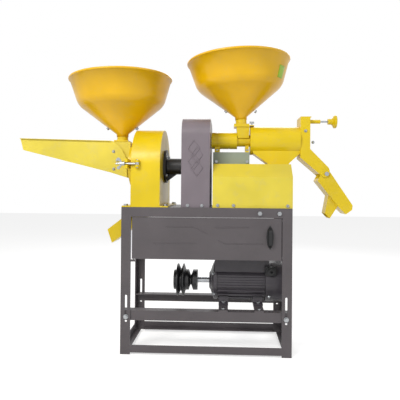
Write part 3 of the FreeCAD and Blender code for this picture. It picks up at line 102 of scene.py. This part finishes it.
class HullerColours(bpy.types.PropertyGroup):
    """Base colours of the paints and plastics."""
    hopper: colour_setting("Hopper enamel", "Warm yellow of the hoppers", "E9B606")
    machine: colour_setting("Machine enamel", "Yellow of the mill and crusher", "E0C312")
    tray: colour_setting("Tray enamel", "Paler yellow of the feed tray and covers", "DECB45")
    stand: colour_setting("Stand enamel", "Warm dark grey of the stand", "565154")
    guard: colour_setting("Guard enamel", "Mauve grey of the belt guard", "797077")
    bracket: colour_setting("Bracket enamel", "Stone grey of the mill bracket", "8B9484")
    motor: colour_setting("Motor enamel", "Near black of the motor", "343036")
    black: colour_setting("Black enamel", "Bearing housing and pulleys", "1B1B1D")
    plastic: colour_setting("Black plastic", "Handle and gland", "161618")
    label: colour_setting("Label green", "Bare label on the right hopper", "9CC41E")


# ---------------------------------------------------------------- finishes

def add_node(tree, kind, inputs=None, **settings):
    """Adds a node, sets its properties, and fills its inputs with a value or links them to an output."""
    made = tree.nodes.new(kind)
    for key, value in settings.items():
        setattr(made, key, value)
    for key, value in (inputs or {}).items():
        if isinstance(value, bpy.types.NodeSocket):
            tree.links.new(value, made.inputs[key])
        else:
            made.inputs[key].default_value = value
    return made


def empty_tree(owner):
    """Gives a material or a world an empty node tree."""
    owner.use_nodes = True
    owner.node_tree.nodes.clear()
    return owner.node_tree


def start_material(name):
    """A material with an empty tree and the object's own coordinates to draw patterns on."""
    made = bpy.data.materials.new(name)
    tree = empty_tree(made)
    place = add_node(tree, "ShaderNodeTexCoord").outputs["Object"]
    return made, tree, place


def grain(tree, place, size, detail=3.0, roughness=0.55, low=0.0, high=1.0, stretch=None):
    """Noise whose patches are `size` metres across, with its range from low to high spread over 0 to 1."""
    if stretch:
        place = add_node(tree, "ShaderNodeMapping", {"Vector": place, "Scale": stretch}).outputs[0]
    noise = add_node(tree, "ShaderNodeTexNoise", {"Vector": place, "Scale": 1 / size, "Detail": detail,
                                                  "Roughness": roughness}).outputs["Fac"]
    spread = add_node(tree, "ShaderNodeMapRange", {"Value": noise, "From Min": low, "From Max": high})
    return spread.outputs[0]


def blend_colours(tree, share, first, second):
    """Colour that goes from the first to the second with the share."""
    return add_node(tree, "ShaderNodeMix", {0: share, 6: first, 7: second}, data_type="RGBA").outputs[2]


def between(tree, share, low, high):
    """Number that goes from low to high with the share."""
    return add_node(tree, "ShaderNodeMapRange", {"Value": share, "To Min": low, "To Max": high}).outputs[0]


def relief(tree, height, depth, below=None):
    """Normal of a surface raised by the height pattern, `depth` metres at most, over another relief."""
    inputs = {"Height": height, "Distance": depth, "Strength": 1.0}
    if below:
        inputs["Normal"] = below
    return add_node(tree, "ShaderNodeBump", inputs).outputs[0]


def close(tree, colour, rough, normal, fixed):
    """Ends a material in a principled shader; the fixed values go straight onto its sockets."""
    inputs = {"Base Color": colour, "Roughness": rough, "Normal": normal, **fixed}
    shader = add_node(tree, "ShaderNodeBsdfPrincipled", inputs)
    add_node(tree, "ShaderNodeOutputMaterial", {"Surface": shader.outputs[0]})


def enamel(name, colour, gloss, dents, dust=0.25):
    """Sprayed enamel: a soft coat on slightly wavy sheet, cloudy tone, fine dust and a few small chips."""
    made, tree, place = start_material(name)
    cloud = grain(tree, place, 0.14, 2, 0.5, 0.3, 0.7)
    toned = blend_colours(tree, cloud, shade(colour, 0.91), shade(colour, 1.07))
    dusty = grain(tree, place, 0.045, 8, 0.72, 0.52, 0.78)
    veil = between(tree, dusty, 0.0, dust)
    veiled = blend_colours(tree, veil, toned, [sum(colour[:3]) / 3 * 0.8] * 3 + [1.0])
    chips = grain(tree, place, 0.010, 4, 0.6, 0.73, 0.75)
    chipped = blend_colours(tree, chips, veiled, shade(colour, 0.45))
    rough = between(tree, dusty, 1 - gloss, min(1.0, 1.25 - gloss))
    # sprayed paint's peel is about a millimetre across and is drawn four times as coarse so that it shows
    peel = relief(tree, grain(tree, place, 0.004, 1), 0.00006)
    waves = relief(tree, grain(tree, place, 0.09, 1, 0.4), dents, peel)
    close(tree, chipped, rough, waves, {"Coat Weight": 0.16 * gloss, "Coat Roughness": 0.16, "IOR": 1.42})
    return made


def cast_enamel(name, colour, grit):
    """Enamel on sand-cast iron: satin, with the sand's grit under the paint and dull dust in its hollows."""
    made, tree, place = start_material(name)
    sand = grain(tree, place, grit, 5, 0.65, 0.25, 0.75)
    cloud = grain(tree, place, 0.06, 3, 0.5, 0.3, 0.7)
    toned = blend_colours(tree, cloud, shade(colour, 0.8), shade(colour, 1.25))
    dusted = blend_colours(tree, between(tree, sand, 0.0, 0.3), toned, shade(colour, 1.7))
    close(tree, dusted, between(tree, sand, 0.34, 0.5), relief(tree, sand, 0.0003),
          {"Coat Weight": 0.12, "Coat Roughness": 0.2, "IOR": 1.5})
    return made


def bare_metal(name, code, rough_low, rough_high, stretch, grain_size=0.0015, stain="8A7A5E"):
    """Bare metal: machining or rolling lines along one way, uneven sheen and faint stains."""
    made, tree, place = start_material(name)
    lines = grain(tree, place, grain_size, 2, 0.5, 0.3, 0.7, stretch)
    spots = grain(tree, place, 0.012, 6, 0.7, 0.55, 0.8)
    colour = linear(code)
    lined = blend_colours(tree, lines, shade(colour, 0.86), shade(colour, 1.06))
    stained = blend_colours(tree, between(tree, spots, 0.0, 0.35), lined, linear(stain))
    rough = between(tree, lines, rough_low, rough_high)
    close(tree, stained, rough, relief(tree, lines, 0.00004), {"Metallic": 1.0})
    return made


def cast_iron(name, code):
    """Bare cast iron: dark, coarse and half matt, with rust blooming in patches."""
    made, tree, place = start_material(name)
    sand = grain(tree, place, 0.0035, 6, 0.7, 0.3, 0.7)
    bloom = grain(tree, place, 0.03, 5, 0.65, 0.55, 0.75)
    colour = linear(code)
    body = blend_colours(tree, sand, shade(colour, 0.75), shade(colour, 1.2))
    rusty = blend_colours(tree, between(tree, bloom, 0.0, 0.3), body, linear("5A3B28"))
    close(tree, rusty, between(tree, sand, 0.45, 0.65), relief(tree, sand, 0.0004), {"Metallic": 0.75})
    return made


def moulded(name, colour):
    """Moulded ABS: fine spark-eroded texture, faint grey rub marks and a dull sheen."""
    made, tree, place = start_material(name)
    texture = grain(tree, place, 0.0018, 3, 0.6)
    rubs = grain(tree, place, 0.02, 5, 0.7, 0.55, 0.75, (1, 1, 0.3))
    rubbed = blend_colours(tree, between(tree, rubs, 0.0, 0.35), colour, shade(colour, 3.0))
    close(tree, rubbed, between(tree, texture, 0.36, 0.5), relief(tree, texture, 0.0001), {"IOR": 1.46})
    return made


def vinyl(name, colour):
    """Printed vinyl film: even colour under a smooth clear layer with a faint ripple of glue."""
    made, tree, place = start_material(name)
    ripple = grain(tree, place, 0.012, 2)
    faded = blend_colours(tree, ripple, shade(colour, 0.94), shade(colour, 1.05))
    close(tree, faded, between(tree, ripple, 0.28, 0.4), relief(tree, ripple, 0.0001), {"IOR": 1.48})
    return made


FINISHES = {
    "hopper_enamel": lambda c: enamel("gloss_enamel_on_spun_sheet", c.hopper, 0.72, 0.0009, 0.12),
    "machine_enamel": lambda c: enamel("gloss_enamel_on_machine_sheet", c.machine, 0.66, 0.0006, 0.15),
    "tray_enamel": lambda c: enamel("gloss_enamel_on_folded_sheet", c.tray, 0.62, 0.0009, 0.2),
    "stand_enamel": lambda c: enamel("satin_enamel_on_angle_iron", c.stand, 0.55, 0.0003, 0.3),
    "guard_enamel": lambda c: enamel("satin_enamel_on_guard_sheet", c.guard, 0.6, 0.0007, 0.3),
    "bracket_enamel": lambda c: enamel("stone_enamel_on_plate", c.bracket, 0.5, 0.0003, 0.3),
    "motor_enamel": lambda c: cast_enamel("baked_enamel_on_cast_housing", c.motor, 0.004),
    "black_enamel": lambda c: cast_enamel("black_enamel_on_cast_iron", c.black, 0.003),
    "moulded_abs": lambda c: moulded("moulded_black_abs", c.plastic),
    "zinc": lambda c: bare_metal("bright_zinc_plate", "A8ABAE", 0.26, 0.4, (1, 1, 1), 0.004, "A9A48C"),
    "turned_steel": lambda c: bare_metal("turned_steel", "B9BCC0", 0.2, 0.34, (0.05, 1, 1)),
    "rolled_steel": lambda c: bare_metal("rolled_steel", "A6A8AB", 0.32, 0.48, (1, 0.06, 1)),
    "iron": lambda c: cast_iron("bare_cast_iron", "55555A"),
    "film": lambda c: vinyl("green_vinyl_film", c.label),
}
NODE_FINISHES = {
    "hopper_enamel": "left_hopper right_hopper",
    "machine_enamel": "crusher_drum crusher_door mill_housing bran_cover outlet_head pressure_knob"
                      " lower_chute discharge_chute left_neck right_neck left_gate right_gate",
    "tray_enamel": "inlet_box feed_tray base_cover",
    "stand_enamel": "legs top_rails foot_rails table_plate front_door door_fittings bed_rails bed_bars",
    "guard_enamel": "belt_guard",
    "bracket_enamel": "mill_bracket",
    "motor_enamel": "motor_stator motor_shield motor_fan_cover capacitor_box",
    "black_enamel": "crusher_bearing_housing motor_pulley",
    "moulded_abs": "door_handle cable_gland motor_fan",
    "zinc": "table_screws bed_bolts machine_bolts crusher_pins latch_rod latch_nut pressure_screw gate_screw",
    "turned_steel": "motor_shaft crusher_shaft mill_shaft motor_bearings crusher_bearings mill_bearings"
                    " rice_sieve crusher_screen",
    "rolled_steel": "pressure_flap",
    "iron": "claw_rotor fixed_claws mill_roller mill_pulley crusher_pulley",
}
made_finishes = {}


def finish(name):
    """The named finish, made when it is first asked for."""
    if name not in made_finishes:
        made_finishes[name] = FINISHES[name](bpy.context.scene.huller_colours)
    return made_finishes[name]


# ---------------------------------------------------------------- making pieces

def dress(name, mesh, body, finish_name, replaced=()):
    """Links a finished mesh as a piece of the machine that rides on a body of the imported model."""
    piece = bpy.data.objects.new(name, mesh)
    bpy.context.scene.collection.objects.link(piece)
    mesh.materials.clear()
    mesh.materials.append(finish(finish_name))
    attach(piece, body)
    if replaced:
        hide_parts(*replaced)
    return piece


def new_tree(name, sizes):
    """Starts a geometry tree with named number inputs, a finish and the geometry it grows from."""
    tree = bpy.data.node_groups.new(name, "GeometryNodeTree")
    tree.interface.new_socket("Geometry", in_out="INPUT", socket_type="NodeSocketGeometry")
    for label, default in sizes.items():
        kind = "NodeSocketInt" if isinstance(default, int) else "NodeSocketFloat"
        tree.interface.new_socket(label, in_out="INPUT", socket_type=kind).default_value = default
    tree.interface.new_socket("Finish", in_out="INPUT", socket_type="NodeSocketMaterial")
    tree.interface.new_socket("Geometry", in_out="OUTPUT", socket_type="NodeSocketGeometry")
    return tree, add_node(tree, "NodeGroupInput").outputs


def end_tree(tree, given, grown):
    """Ends a geometry tree: instances become real faces and take the finish."""
    real = add_node(tree, "GeometryNodeRealizeInstances", {"Geometry": grown}).outputs[0]
    painted = add_node(tree, "GeometryNodeSetMaterial", {"Geometry": real, "Material": given["Finish"]})
    add_node(tree, "NodeGroupOutput", {"Geometry": painted.outputs[0]})
    return tree


def grow(name, seed, tree, values, body, finish_name):
    """Grows a piece from seed points or edges with a geometry tree, and keeps it as a plain mesh."""
    carrier = bpy.data.objects.new(name + "_seed", seed)
    bpy.context.scene.collection.objects.link(carrier)
    pattern = carrier.modifiers.new("Pattern", "NODES")
    pattern.node_group = tree
    values = dict(values, Finish=finish(finish_name))
    for item in tree.interface.items_tree:
        if item.in_out == "INPUT" and item.name in values:
            pattern[item.identifier] = values[item.name]
    bpy.context.view_layer.update()
    seen = carrier.evaluated_get(bpy.context.evaluated_depsgraph_get())
    mesh = bpy.data.meshes.new_from_object(seen)
    carrier.modifiers.clear()
    bpy.data.objects.remove(carrier)
    mesh.name = name
    return dress(name, mesh, body, finish_name)


def seed_points(name, places):
    """Points with the way each one faces, from pairs of place and direction in millimetres."""
    mesh = bpy.data.meshes.new(name)
    mesh.from_pydata([Vector(place) * MM for place, way in places], [], [])
    facing = mesh.attributes.new("facing", "FLOAT_VECTOR", "POINT")
    for item, (place, way) in zip(facing.data, places):
        item.vector = way
    return mesh


def seed_lines(name, lines):
    """Edges along open lines of points in millimetres."""
    points, edges = [], []
    for line in lines:
        first = len(points)
        points += [Vector(point) * MM for point in line]
        edges += [(first + i, first + i + 1) for i in range(len(line) - 1)]
    mesh = bpy.data.meshes.new(name)
    mesh.from_pydata(points, edges, [])
    return mesh


def head_tree():
    """Fastener heads on points: a head with any number of sides, tapered at its top, on a round washer."""
    tree, given = new_tree("fastener_heads", {"Width": 0.012, "Height": 0.006, "Sides": 6, "Taper": 0.9,
                                              "Washer": 1.2, "Washer Height": 0.0016})
    half = add_node(tree, "ShaderNodeMath", {0: given["Width"], 1: 0.5}, operation="MULTIPLY").outputs[0]
    top = add_node(tree, "ShaderNodeMath", {0: half, 1: given["Taper"]}, operation="MULTIPLY").outputs[0]
    wide = add_node(tree, "ShaderNodeMath", {0: half, 1: given["Washer"]}, operation="MULTIPLY").outputs[0]
    head = add_node(tree, "GeometryNodeMeshCone", {"Vertices": given["Sides"], "Radius Bottom": half,
                                                   "Radius Top": top, "Depth": given["Height"]}).outputs["Mesh"]
    lift = add_node(tree, "ShaderNodeCombineXYZ", {"Z": given["Washer Height"]}).outputs[0]
    raised = add_node(tree, "GeometryNodeTransform", {"Geometry": head, "Translation": lift}).outputs[0]
    round_sides = 24
    washer = add_node(tree, "GeometryNodeMeshCone",
                      {"Vertices": round_sides, "Radius Bottom": wide, "Radius Top": wide,
                       "Depth": given["Washer Height"]}).outputs["Mesh"]
    whole = add_node(tree, "GeometryNodeJoinGeometry")
    tree.links.new(raised, whole.inputs[0])
    tree.links.new(washer, whole.inputs[0])
    facing = add_node(tree, "GeometryNodeInputNamedAttribute", {"Name": "facing"},
                      data_type="FLOAT_VECTOR")
    turn = add_node(tree, "FunctionNodeAlignRotationToVector", {"Vector": facing.outputs[0]}, axis="Z")
    points = add_node(tree, "GeometryNodeMeshToPoints", {"Mesh": given["Geometry"]}).outputs[0]
    placed = add_node(tree, "GeometryNodeInstanceOnPoints", {"Points": points, "Instance": whole.outputs[0],
                                                             "Rotation": turn.outputs[0]}).outputs[0]
    return end_tree(tree, given, placed)


def bead_tree():
    """A round bead swept along lines, for the guard's ornament and the door's beads."""
    tree, given = new_tree("bead_along_lines", {"Width": 0.003, "Sides": 8})
    path = add_node(tree, "GeometryNodeMeshToCurve", {"Mesh": given["Geometry"]}).outputs[0]
    half = add_node(tree, "ShaderNodeMath", {0: given["Width"], 1: 0.5}, operation="MULTIPLY").outputs[0]
    ring = add_node(tree, "GeometryNodeCurvePrimitiveCircle",
                    {"Resolution": given["Sides"], "Radius": half}).outputs[0]
    swept = add_node(tree, "GeometryNodeCurveToMesh", {"Curve": path, "Profile Curve": ring,
                                                       "Fill Caps": True}).outputs[0]
    smooth = add_node(tree, "GeometryNodeSetShadeSmooth", {"Geometry": swept}).outputs[0]
    return end_tree(tree, given, smooth)


def leaned(form):
    """Carries a hopper's shape from the origin to its place, leaned to the left."""
    return Matrix.Translation(Vector(form["place"]) * MM) @ Matrix.Rotation(radians(-form["lean"]), 4, "Y")


def turned(name, outline, form, body, finish_name, replaced=(), steps=128):
    """A closed outline of (radius, height) turned about an upright axis and set down in a hopper's place."""
    shape = bmesh.new()
    rings = []
    for step in range(steps):
        angle = tau * step / steps
        rings.append([shape.verts.new((r * cos(angle), r * sin(angle), z)) for r, z in outline])
    count = len(outline)
    for step in range(steps):
        ring, after = rings[step], rings[(step + 1) % steps]
        for i in range(count):
            j = (i + 1) % count
            shape.faces.new((ring[i], after[i], after[j], ring[j]))
    bmesh.ops.recalc_face_normals(shape, faces=shape.faces)
    mesh = bpy.data.meshes.new(name)
    shape.to_mesh(mesh)
    shape.free()
    mesh.shade_smooth()
    mesh.transform(leaned(form))
    return dress(name, mesh, body, finish_name, replaced)


def arc(centre, radius, start, end, steps):
    """Points on an arc in the plane of an outline, angles in degrees."""
    angles = [radians(start + (end - start) * i / steps) for i in range(steps + 1)]
    return [(centre[0] + radius * cos(angle), centre[1] + radius * sin(angle)) for angle in angles]


# ---------------------------------------------------------------- pieces

def hopper(name, form, body, replaced):
    """Spun hopper: collar, cone, soft crease, wall and rolled rim as one closed sheet."""
    sizes = bpy.context.scene.huller_sizes
    collar_top = form["collar_top"]
    collar_length = 0.012
    rim_z = collar_top + sizes.hopper_height
    crease, crease_z = sizes.crease_radius, rim_z - sizes.crease_drop
    # the crease leaves the cone at `low`, is drawn towards `knee` and meets the wall at `high`
    low = Vector((crease - 0.016, crease_z - 0.014))
    knee = Vector((crease, crease_z))
    high = Vector((crease + 0.006, crease_z + 0.018))
    steps = 8
    lowering = 0.6  # share of the offset that also lowers the sheet where it leaves the cone

    def path(offset):
        """Line of the sheet from its collar to its rim, moved outwards by the offset."""
        collar = sizes.neck_radius + offset
        line = [(collar, collar_top - collar_length), (collar, collar_top)]
        for i in range(steps + 1):
            share = i / steps
            point = low.lerp(knee, share).lerp(knee.lerp(high, share), share)
            line.append((point.x + offset, point.y - offset * lowering * (1 - share)))
        return line

    rolled = arc((sizes.rim_radius, rim_z), sizes.rim_roll, -100, 190, 14)
    outline = path(sizes.sheet) + rolled + path(0.0)[::-1]
    return turned(name, outline, form, body, "hopper_enamel", replaced)


class HULLER_OT_hoppers(bpy.types.Operator):
    """Spins both hoppers"""
    bl_idname = "huller.hoppers"
    bl_label = "Hoppers"

    def execute(self, context):
        hopper("left_spun_hopper", LEFT_HOPPER, "crusher_door", ["left_hopper"])
        hopper("right_spun_hopper", RIGHT_HOPPER, "stand", ["right_hopper"])
        return {"FINISHED"}


class HULLER_OT_ornament(bpy.types.Operator):
    """Raises a chain of overlapping rhombi on the front of the belt guard"""
    bl_idname = "huller.ornament"
    bl_label = "Guard ornament"

    def execute(self, context):
        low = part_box("belt_guard")[0]
        ahead_of_sheet = 0.4
        front = low.y / MM - ahead_of_sheet
        first_x, top_z = -53, 836
        sideways, down = 12, 27
        half_wide, half_high = 24, 32
        lines = []
        for rank in range(4):
            x = first_x + sideways * (rank % 2)
            z = top_z - down * rank
            corners = [(x - half_wide, z), (x, z + half_high), (x + half_wide, z), (x, z - half_high)]
            lines.append([(across, front, up) for across, up in corners + corners[:1]])
        grow("guard_ornament", seed_lines("rhombi", lines), bead_tree(),
             {"Width": context.scene.huller_sizes.ornament_line}, "stand", "guard_enamel")
        return {"FINISHED"}


class HULLER_OT_door_beads(bpy.types.Operator):
    """Raises the stiffening beads on the front door"""
    bl_idname = "huller.door_beads"
    bl_label = "Door beads"

    def execute(self, context):
        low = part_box("front_door")[0]
        front = low.y / MM
        beads = [[(-162, 517), (-54, 518), (5, 490)],
                 [(37, 516), (172.5, 518)],
                 [(-216, 449), (-40, 451.5)],
                 [(48, 464), (75, 451), (226, 452.6)]]
        lines = [[(x, front, z) for x, z in bead] for bead in beads]
        grow("door_beads", seed_lines("door_bead_lines", lines), bead_tree(),
             {"Width": context.scene.huller_sizes.bead_line}, "front_door", "stand_enamel")
        return {"FINISHED"}


def ahead(places, y):
    """Fasteners that face forwards from the plane at y, from their places across and up."""
    return [((x, y, z), (0, -1, 0)) for x, z in places]


def clamp_bolts(x, z):
    """A bolt on either side of a hopper's cone, facing outwards and down."""
    reach = 63
    return [((x + side * reach, 0, z), (side, 0, -0.85)) for side in (-1, 1)]


def round_motor(x, radius, angles):
    """Fasteners in a ring round the motor's axis, each facing out from it, at degrees above the front."""
    places = []
    for angle in angles:
        out = (0, -cos(radians(angle)), sin(radians(angle)))
        places.append(((x, radius * out[1], MOTOR_AXIS_Z + radius * out[2]), out))
    return places


class HULLER_OT_fasteners(bpy.types.Operator):
    """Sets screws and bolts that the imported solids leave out"""
    bl_idname = "huller.fasteners"
    bl_label = "Screws and bolts"

    def execute(self, context):
        def face(node):
            """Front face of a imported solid, in millimetres."""
            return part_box(node)[0].y / MM

        heads = head_tree()
        round_heads = {"Width": 0.011, "Height": 0.005, "Sides": 20, "Taper": 0.55}
        hexagons = {"Width": 0.013, "Height": 0.006, "Sides": 6, "Taper": 0.94}
        table = ahead([(-77, 603), (-19, 603)], face("belt_guard"))
        table += ahead([(45, 605), (109, 605), (327, 605)], face("base_cover"))
        cheek = ahead([(-405, 828), (-389, 791), (-403, 753)], face("inlet_box"))
        outlet = ahead([(414, 920.5), (445, 872)], face("outlet_head"))
        sets = [
            ("table_screw_heads", "stand", round_heads, table),
            ("rail_bolt_heads", "stand", hexagons, ahead([(215, 574), (293, 574)], face("top_rails"))),
            ("right_hopper_bolts", "stand", hexagons, clamp_bolts(140, 1013)),
            ("left_hopper_bolts", "crusher_door", hexagons, clamp_bolts(-382, 936)),
            ("cheek_screws", "crusher_door", round_heads, cheek),
            ("outlet_screws", "stand", round_heads, outlet),
            ("shield_bolts", "motor_bed", hexagons, round_motor(30, 77, (32, -32, 148, 212))),
            ("fan_cover_screws", "motor_bed", round_heads, round_motor(262, 86, (-37, 217))),
        ]
        for name, body, shape, places in sets:
            grow(name, seed_points(name, places), heads, shape, body, "zinc")
        return {"FINISHED"}


class HULLER_OT_label(bpy.types.Operator):
    """Sticks the bare green label on the right hopper"""
    bl_idname = "huller.label"
    bl_label = "Bare label"

    def execute(self, context):
        sizes = context.scene.huller_sizes
        rim_z = RIGHT_HOPPER["collar_top"] + sizes.hopper_height
        slope = (sizes.rim_radius - sizes.crease_radius) / sizes.crease_drop
        top, height = 0.050, 0.048
        first_angle, turn = -37, 13
        ahead_of_sheet, film = 0.0012, 0.0006
        columns, rows = 7, 4
        points = []
        for row in range(rows):
            drop = top + height * row / (rows - 1)
            radius = sizes.rim_radius - slope * drop + sizes.sheet + ahead_of_sheet
            for column in range(columns):
                angle = radians(first_angle + turn * column / (columns - 1))
                points.append((radius * cos(angle), radius * sin(angle), rim_z - drop))
        faces = [(r * columns + c, (r + 1) * columns + c, (r + 1) * columns + c + 1, r * columns + c + 1)
                 for r in range(rows - 1) for c in range(columns - 1)]
        mesh = bpy.data.meshes.new("bare_label")
        mesh.from_pydata(points, [], faces)
        mesh.transform(leaned(RIGHT_HOPPER))
        mesh.shade_smooth()
        label = dress("bare_label", mesh, "stand", "film")
        label.modifiers.new("Film", "SOLIDIFY").thickness = film
        return {"FINISHED"}


class HULLER_OT_cad_finishes(bpy.types.Operator):
    """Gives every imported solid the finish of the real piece"""
    bl_idname = "huller.cad_finishes"
    bl_label = "Finishes of the packed solids"

    def execute(self, context):
        for finish_name, names in NODE_FINISHES.items():
            for name in names.split():
                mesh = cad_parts[name].data
                mesh.materials.clear()
                mesh.materials.append(finish(finish_name))
        missed = set(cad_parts) - set(" ".join(NODE_FINISHES.values()).split())
        if missed:
            raise RuntimeError("no finish is named for %s" % sorted(missed))
        return {"FINISHED"}


# ---------------------------------------------------------------- studio

def seen_directly(tree):
    """1 on rays from the camera, in reflections and through glass, 0 on rays that only carry light."""
    path = add_node(tree, "ShaderNodeLightPath").outputs
    seen = path["Is Camera Ray"]
    for ray in ("Is Glossy Ray", "Is Transmission Ray"):
        seen = add_node(tree, "ShaderNodeMath", {0: seen, 1: path[ray]}, operation="MAXIMUM").outputs[0]
    return seen


def studio_material(name, brightness):
    """Pale paper that takes shadows and glows by the brightness, but only where it is seen directly."""
    made = bpy.data.materials.new(name)
    tree = empty_tree(made)
    seen = seen_directly(tree)
    paper = add_node(tree, "ShaderNodeBsdfDiffuse", {"Color": (0.8, 0.8, 0.8, 1)}).outputs[0]
    light = add_node(tree, "ShaderNodeMath", {0: seen, 1: brightness}, operation="MULTIPLY").outputs[0]
    glow = add_node(tree, "ShaderNodeEmission", {"Color": (1, 1, 1, 1), "Strength": light}).outputs[0]
    both = add_node(tree, "ShaderNodeAddShader", {0: paper, 1: glow}).outputs[0]
    add_node(tree, "ShaderNodeOutputMaterial", {"Surface": both})
    return made


def studio_world():
    """A world that is white where it is seen directly and gives less light than that."""
    world = bpy.data.worlds.new("studio")
    tree = empty_tree(world)
    strength = between(tree, seen_directly(tree), 0.42, 1.0)
    sky = add_node(tree, "ShaderNodeBackground", {"Color": (1, 1, 1, 1), "Strength": strength}).outputs[0]
    add_node(tree, "ShaderNodeOutputWorld", {"Surface": sky})
    return world


def area_lamp(name, place, target, wide, power, warmth):
    """A rectangular lamp that faces the target: place and width and height in metres, power in watts."""
    lamp = bpy.data.lights.new(name, "AREA")
    lamp.shape = "RECTANGLE"
    lamp.size, lamp.size_y = wide
    lamp.energy = power
    lamp.color = warmth
    made = bpy.data.objects.new(name, lamp)
    made.location = place
    made.rotation_euler = (Vector(target) - Vector(place)).to_track_quat("-Z", "Y").to_euler()
    bpy.context.scene.collection.objects.link(made)
    return made


def studio_camera():
    """Camera a little above the machine's table; its lens and shifts are shares of the sensor's width."""
    camera = bpy.data.cameras.new("camera")
    camera.sensor_width = 36
    camera.lens = 1.0925 * camera.sensor_width
    camera.shift_x = -0.0218
    camera.shift_y = -0.0395625
    camera.clip_start, camera.clip_end = 0.05, 50
    yaw, pitch, roll = radians(-2.305), radians(0.509), radians(0.473)
    forward = Vector((sin(yaw) * cos(pitch), cos(yaw) * cos(pitch), sin(pitch)))
    right = forward.cross(Vector((0, 0, 1))).normalized()
    up = right.cross(forward)
    turned_right = right * cos(roll) + up * sin(roll)
    turned_up = turned_right.cross(forward)
    turn = Matrix((turned_right, turned_up, -forward)).transposed().to_4x4()
    eye = bpy.data.objects.new("camera", camera)
    eye.matrix_world = Matrix.Translation((0.0795, -1.9173, 0.6746)) @ turn
    bpy.context.scene.collection.objects.link(eye)
    return eye


class HULLER_OT_stage(bpy.types.Operator):
    """Sets the floor, lamps, world and camera"""
    bl_idname = "huller.stage"
    bl_label = "Studio"

    def execute(self, context):
        scene = context.scene
        half = 9.0
        corners = [(x * half, y * half, 0) for x, y in ((-1, -1), (1, -1), (1, 1), (-1, 1))]
        mesh = bpy.data.meshes.new("floor")
        mesh.from_pydata(corners, [], [(0, 1, 2, 3)])
        mesh.materials.append(studio_material("studio_paper", 0.55))
        floor = bpy.data.objects.new("floor", mesh)
        scene.collection.objects.link(floor)
        scene.world = studio_world()
        target = (-0.1, 0, 0.65)
        area_lamp("key", (-1.3, -2.3, 2.3), target, (1.3, 1.0), 62, (1, 0.98, 0.95))
        area_lamp("fill", (2.2, -1.9, 1.2), target, (1.4, 1.4), 13, (0.96, 0.98, 1))
        area_lamp("back", (0.6, 2.2, 2.2), target, (2.0, 1.0), 22, (1, 1, 1))
        scene.camera = studio_camera()
        scene.view_settings.view_transform = "Standard"
        return {"FINISHED"}


# ---------------------------------------------------------------- add-on

PIECES = (HULLER_OT_cad_finishes, HULLER_OT_hoppers, HULLER_OT_label, HULLER_OT_ornament,
          HULLER_OT_door_beads, HULLER_OT_fasteners, HULLER_OT_stage)


class HULLER_PT_panel(bpy.types.Panel):
    """Lists the steps in their order"""
    bl_idname = "HULLER_PT_panel"
    bl_label = "Rice huller"
    bl_space_type = "VIEW_3D"
    bl_region_type = "UI"
    bl_category = "Huller"

    def draw(self, context):
        for settings in (context.scene.huller_sizes, context.scene.huller_colours):
            box = self.layout.box()
            for key in settings.__annotations__:
                box.prop(settings, key)
        for step in PIECES:
            self.layout.operator(step.bl_idname)


CLASSES = (HullerSizes, HullerColours) + PIECES + (HULLER_PT_panel,)


def register():
    for item in CLASSES:
        bpy.utils.register_class(item)
    bpy.types.Scene.huller_sizes = bpy.props.PointerProperty(type=HullerSizes)
    bpy.types.Scene.huller_colours = bpy.props.PointerProperty(type=HullerColours)


def unregister():
    del bpy.types.Scene.huller_colours
    del bpy.types.Scene.huller_sizes
    for item in reversed(CLASSES):
        bpy.utils.unregister_class(item)


def main():
    register()
    for step in PIECES:
        getattr(bpy.ops.huller, step.bl_idname.split(".")[1])()


if __name__ == "__main__":
    main()
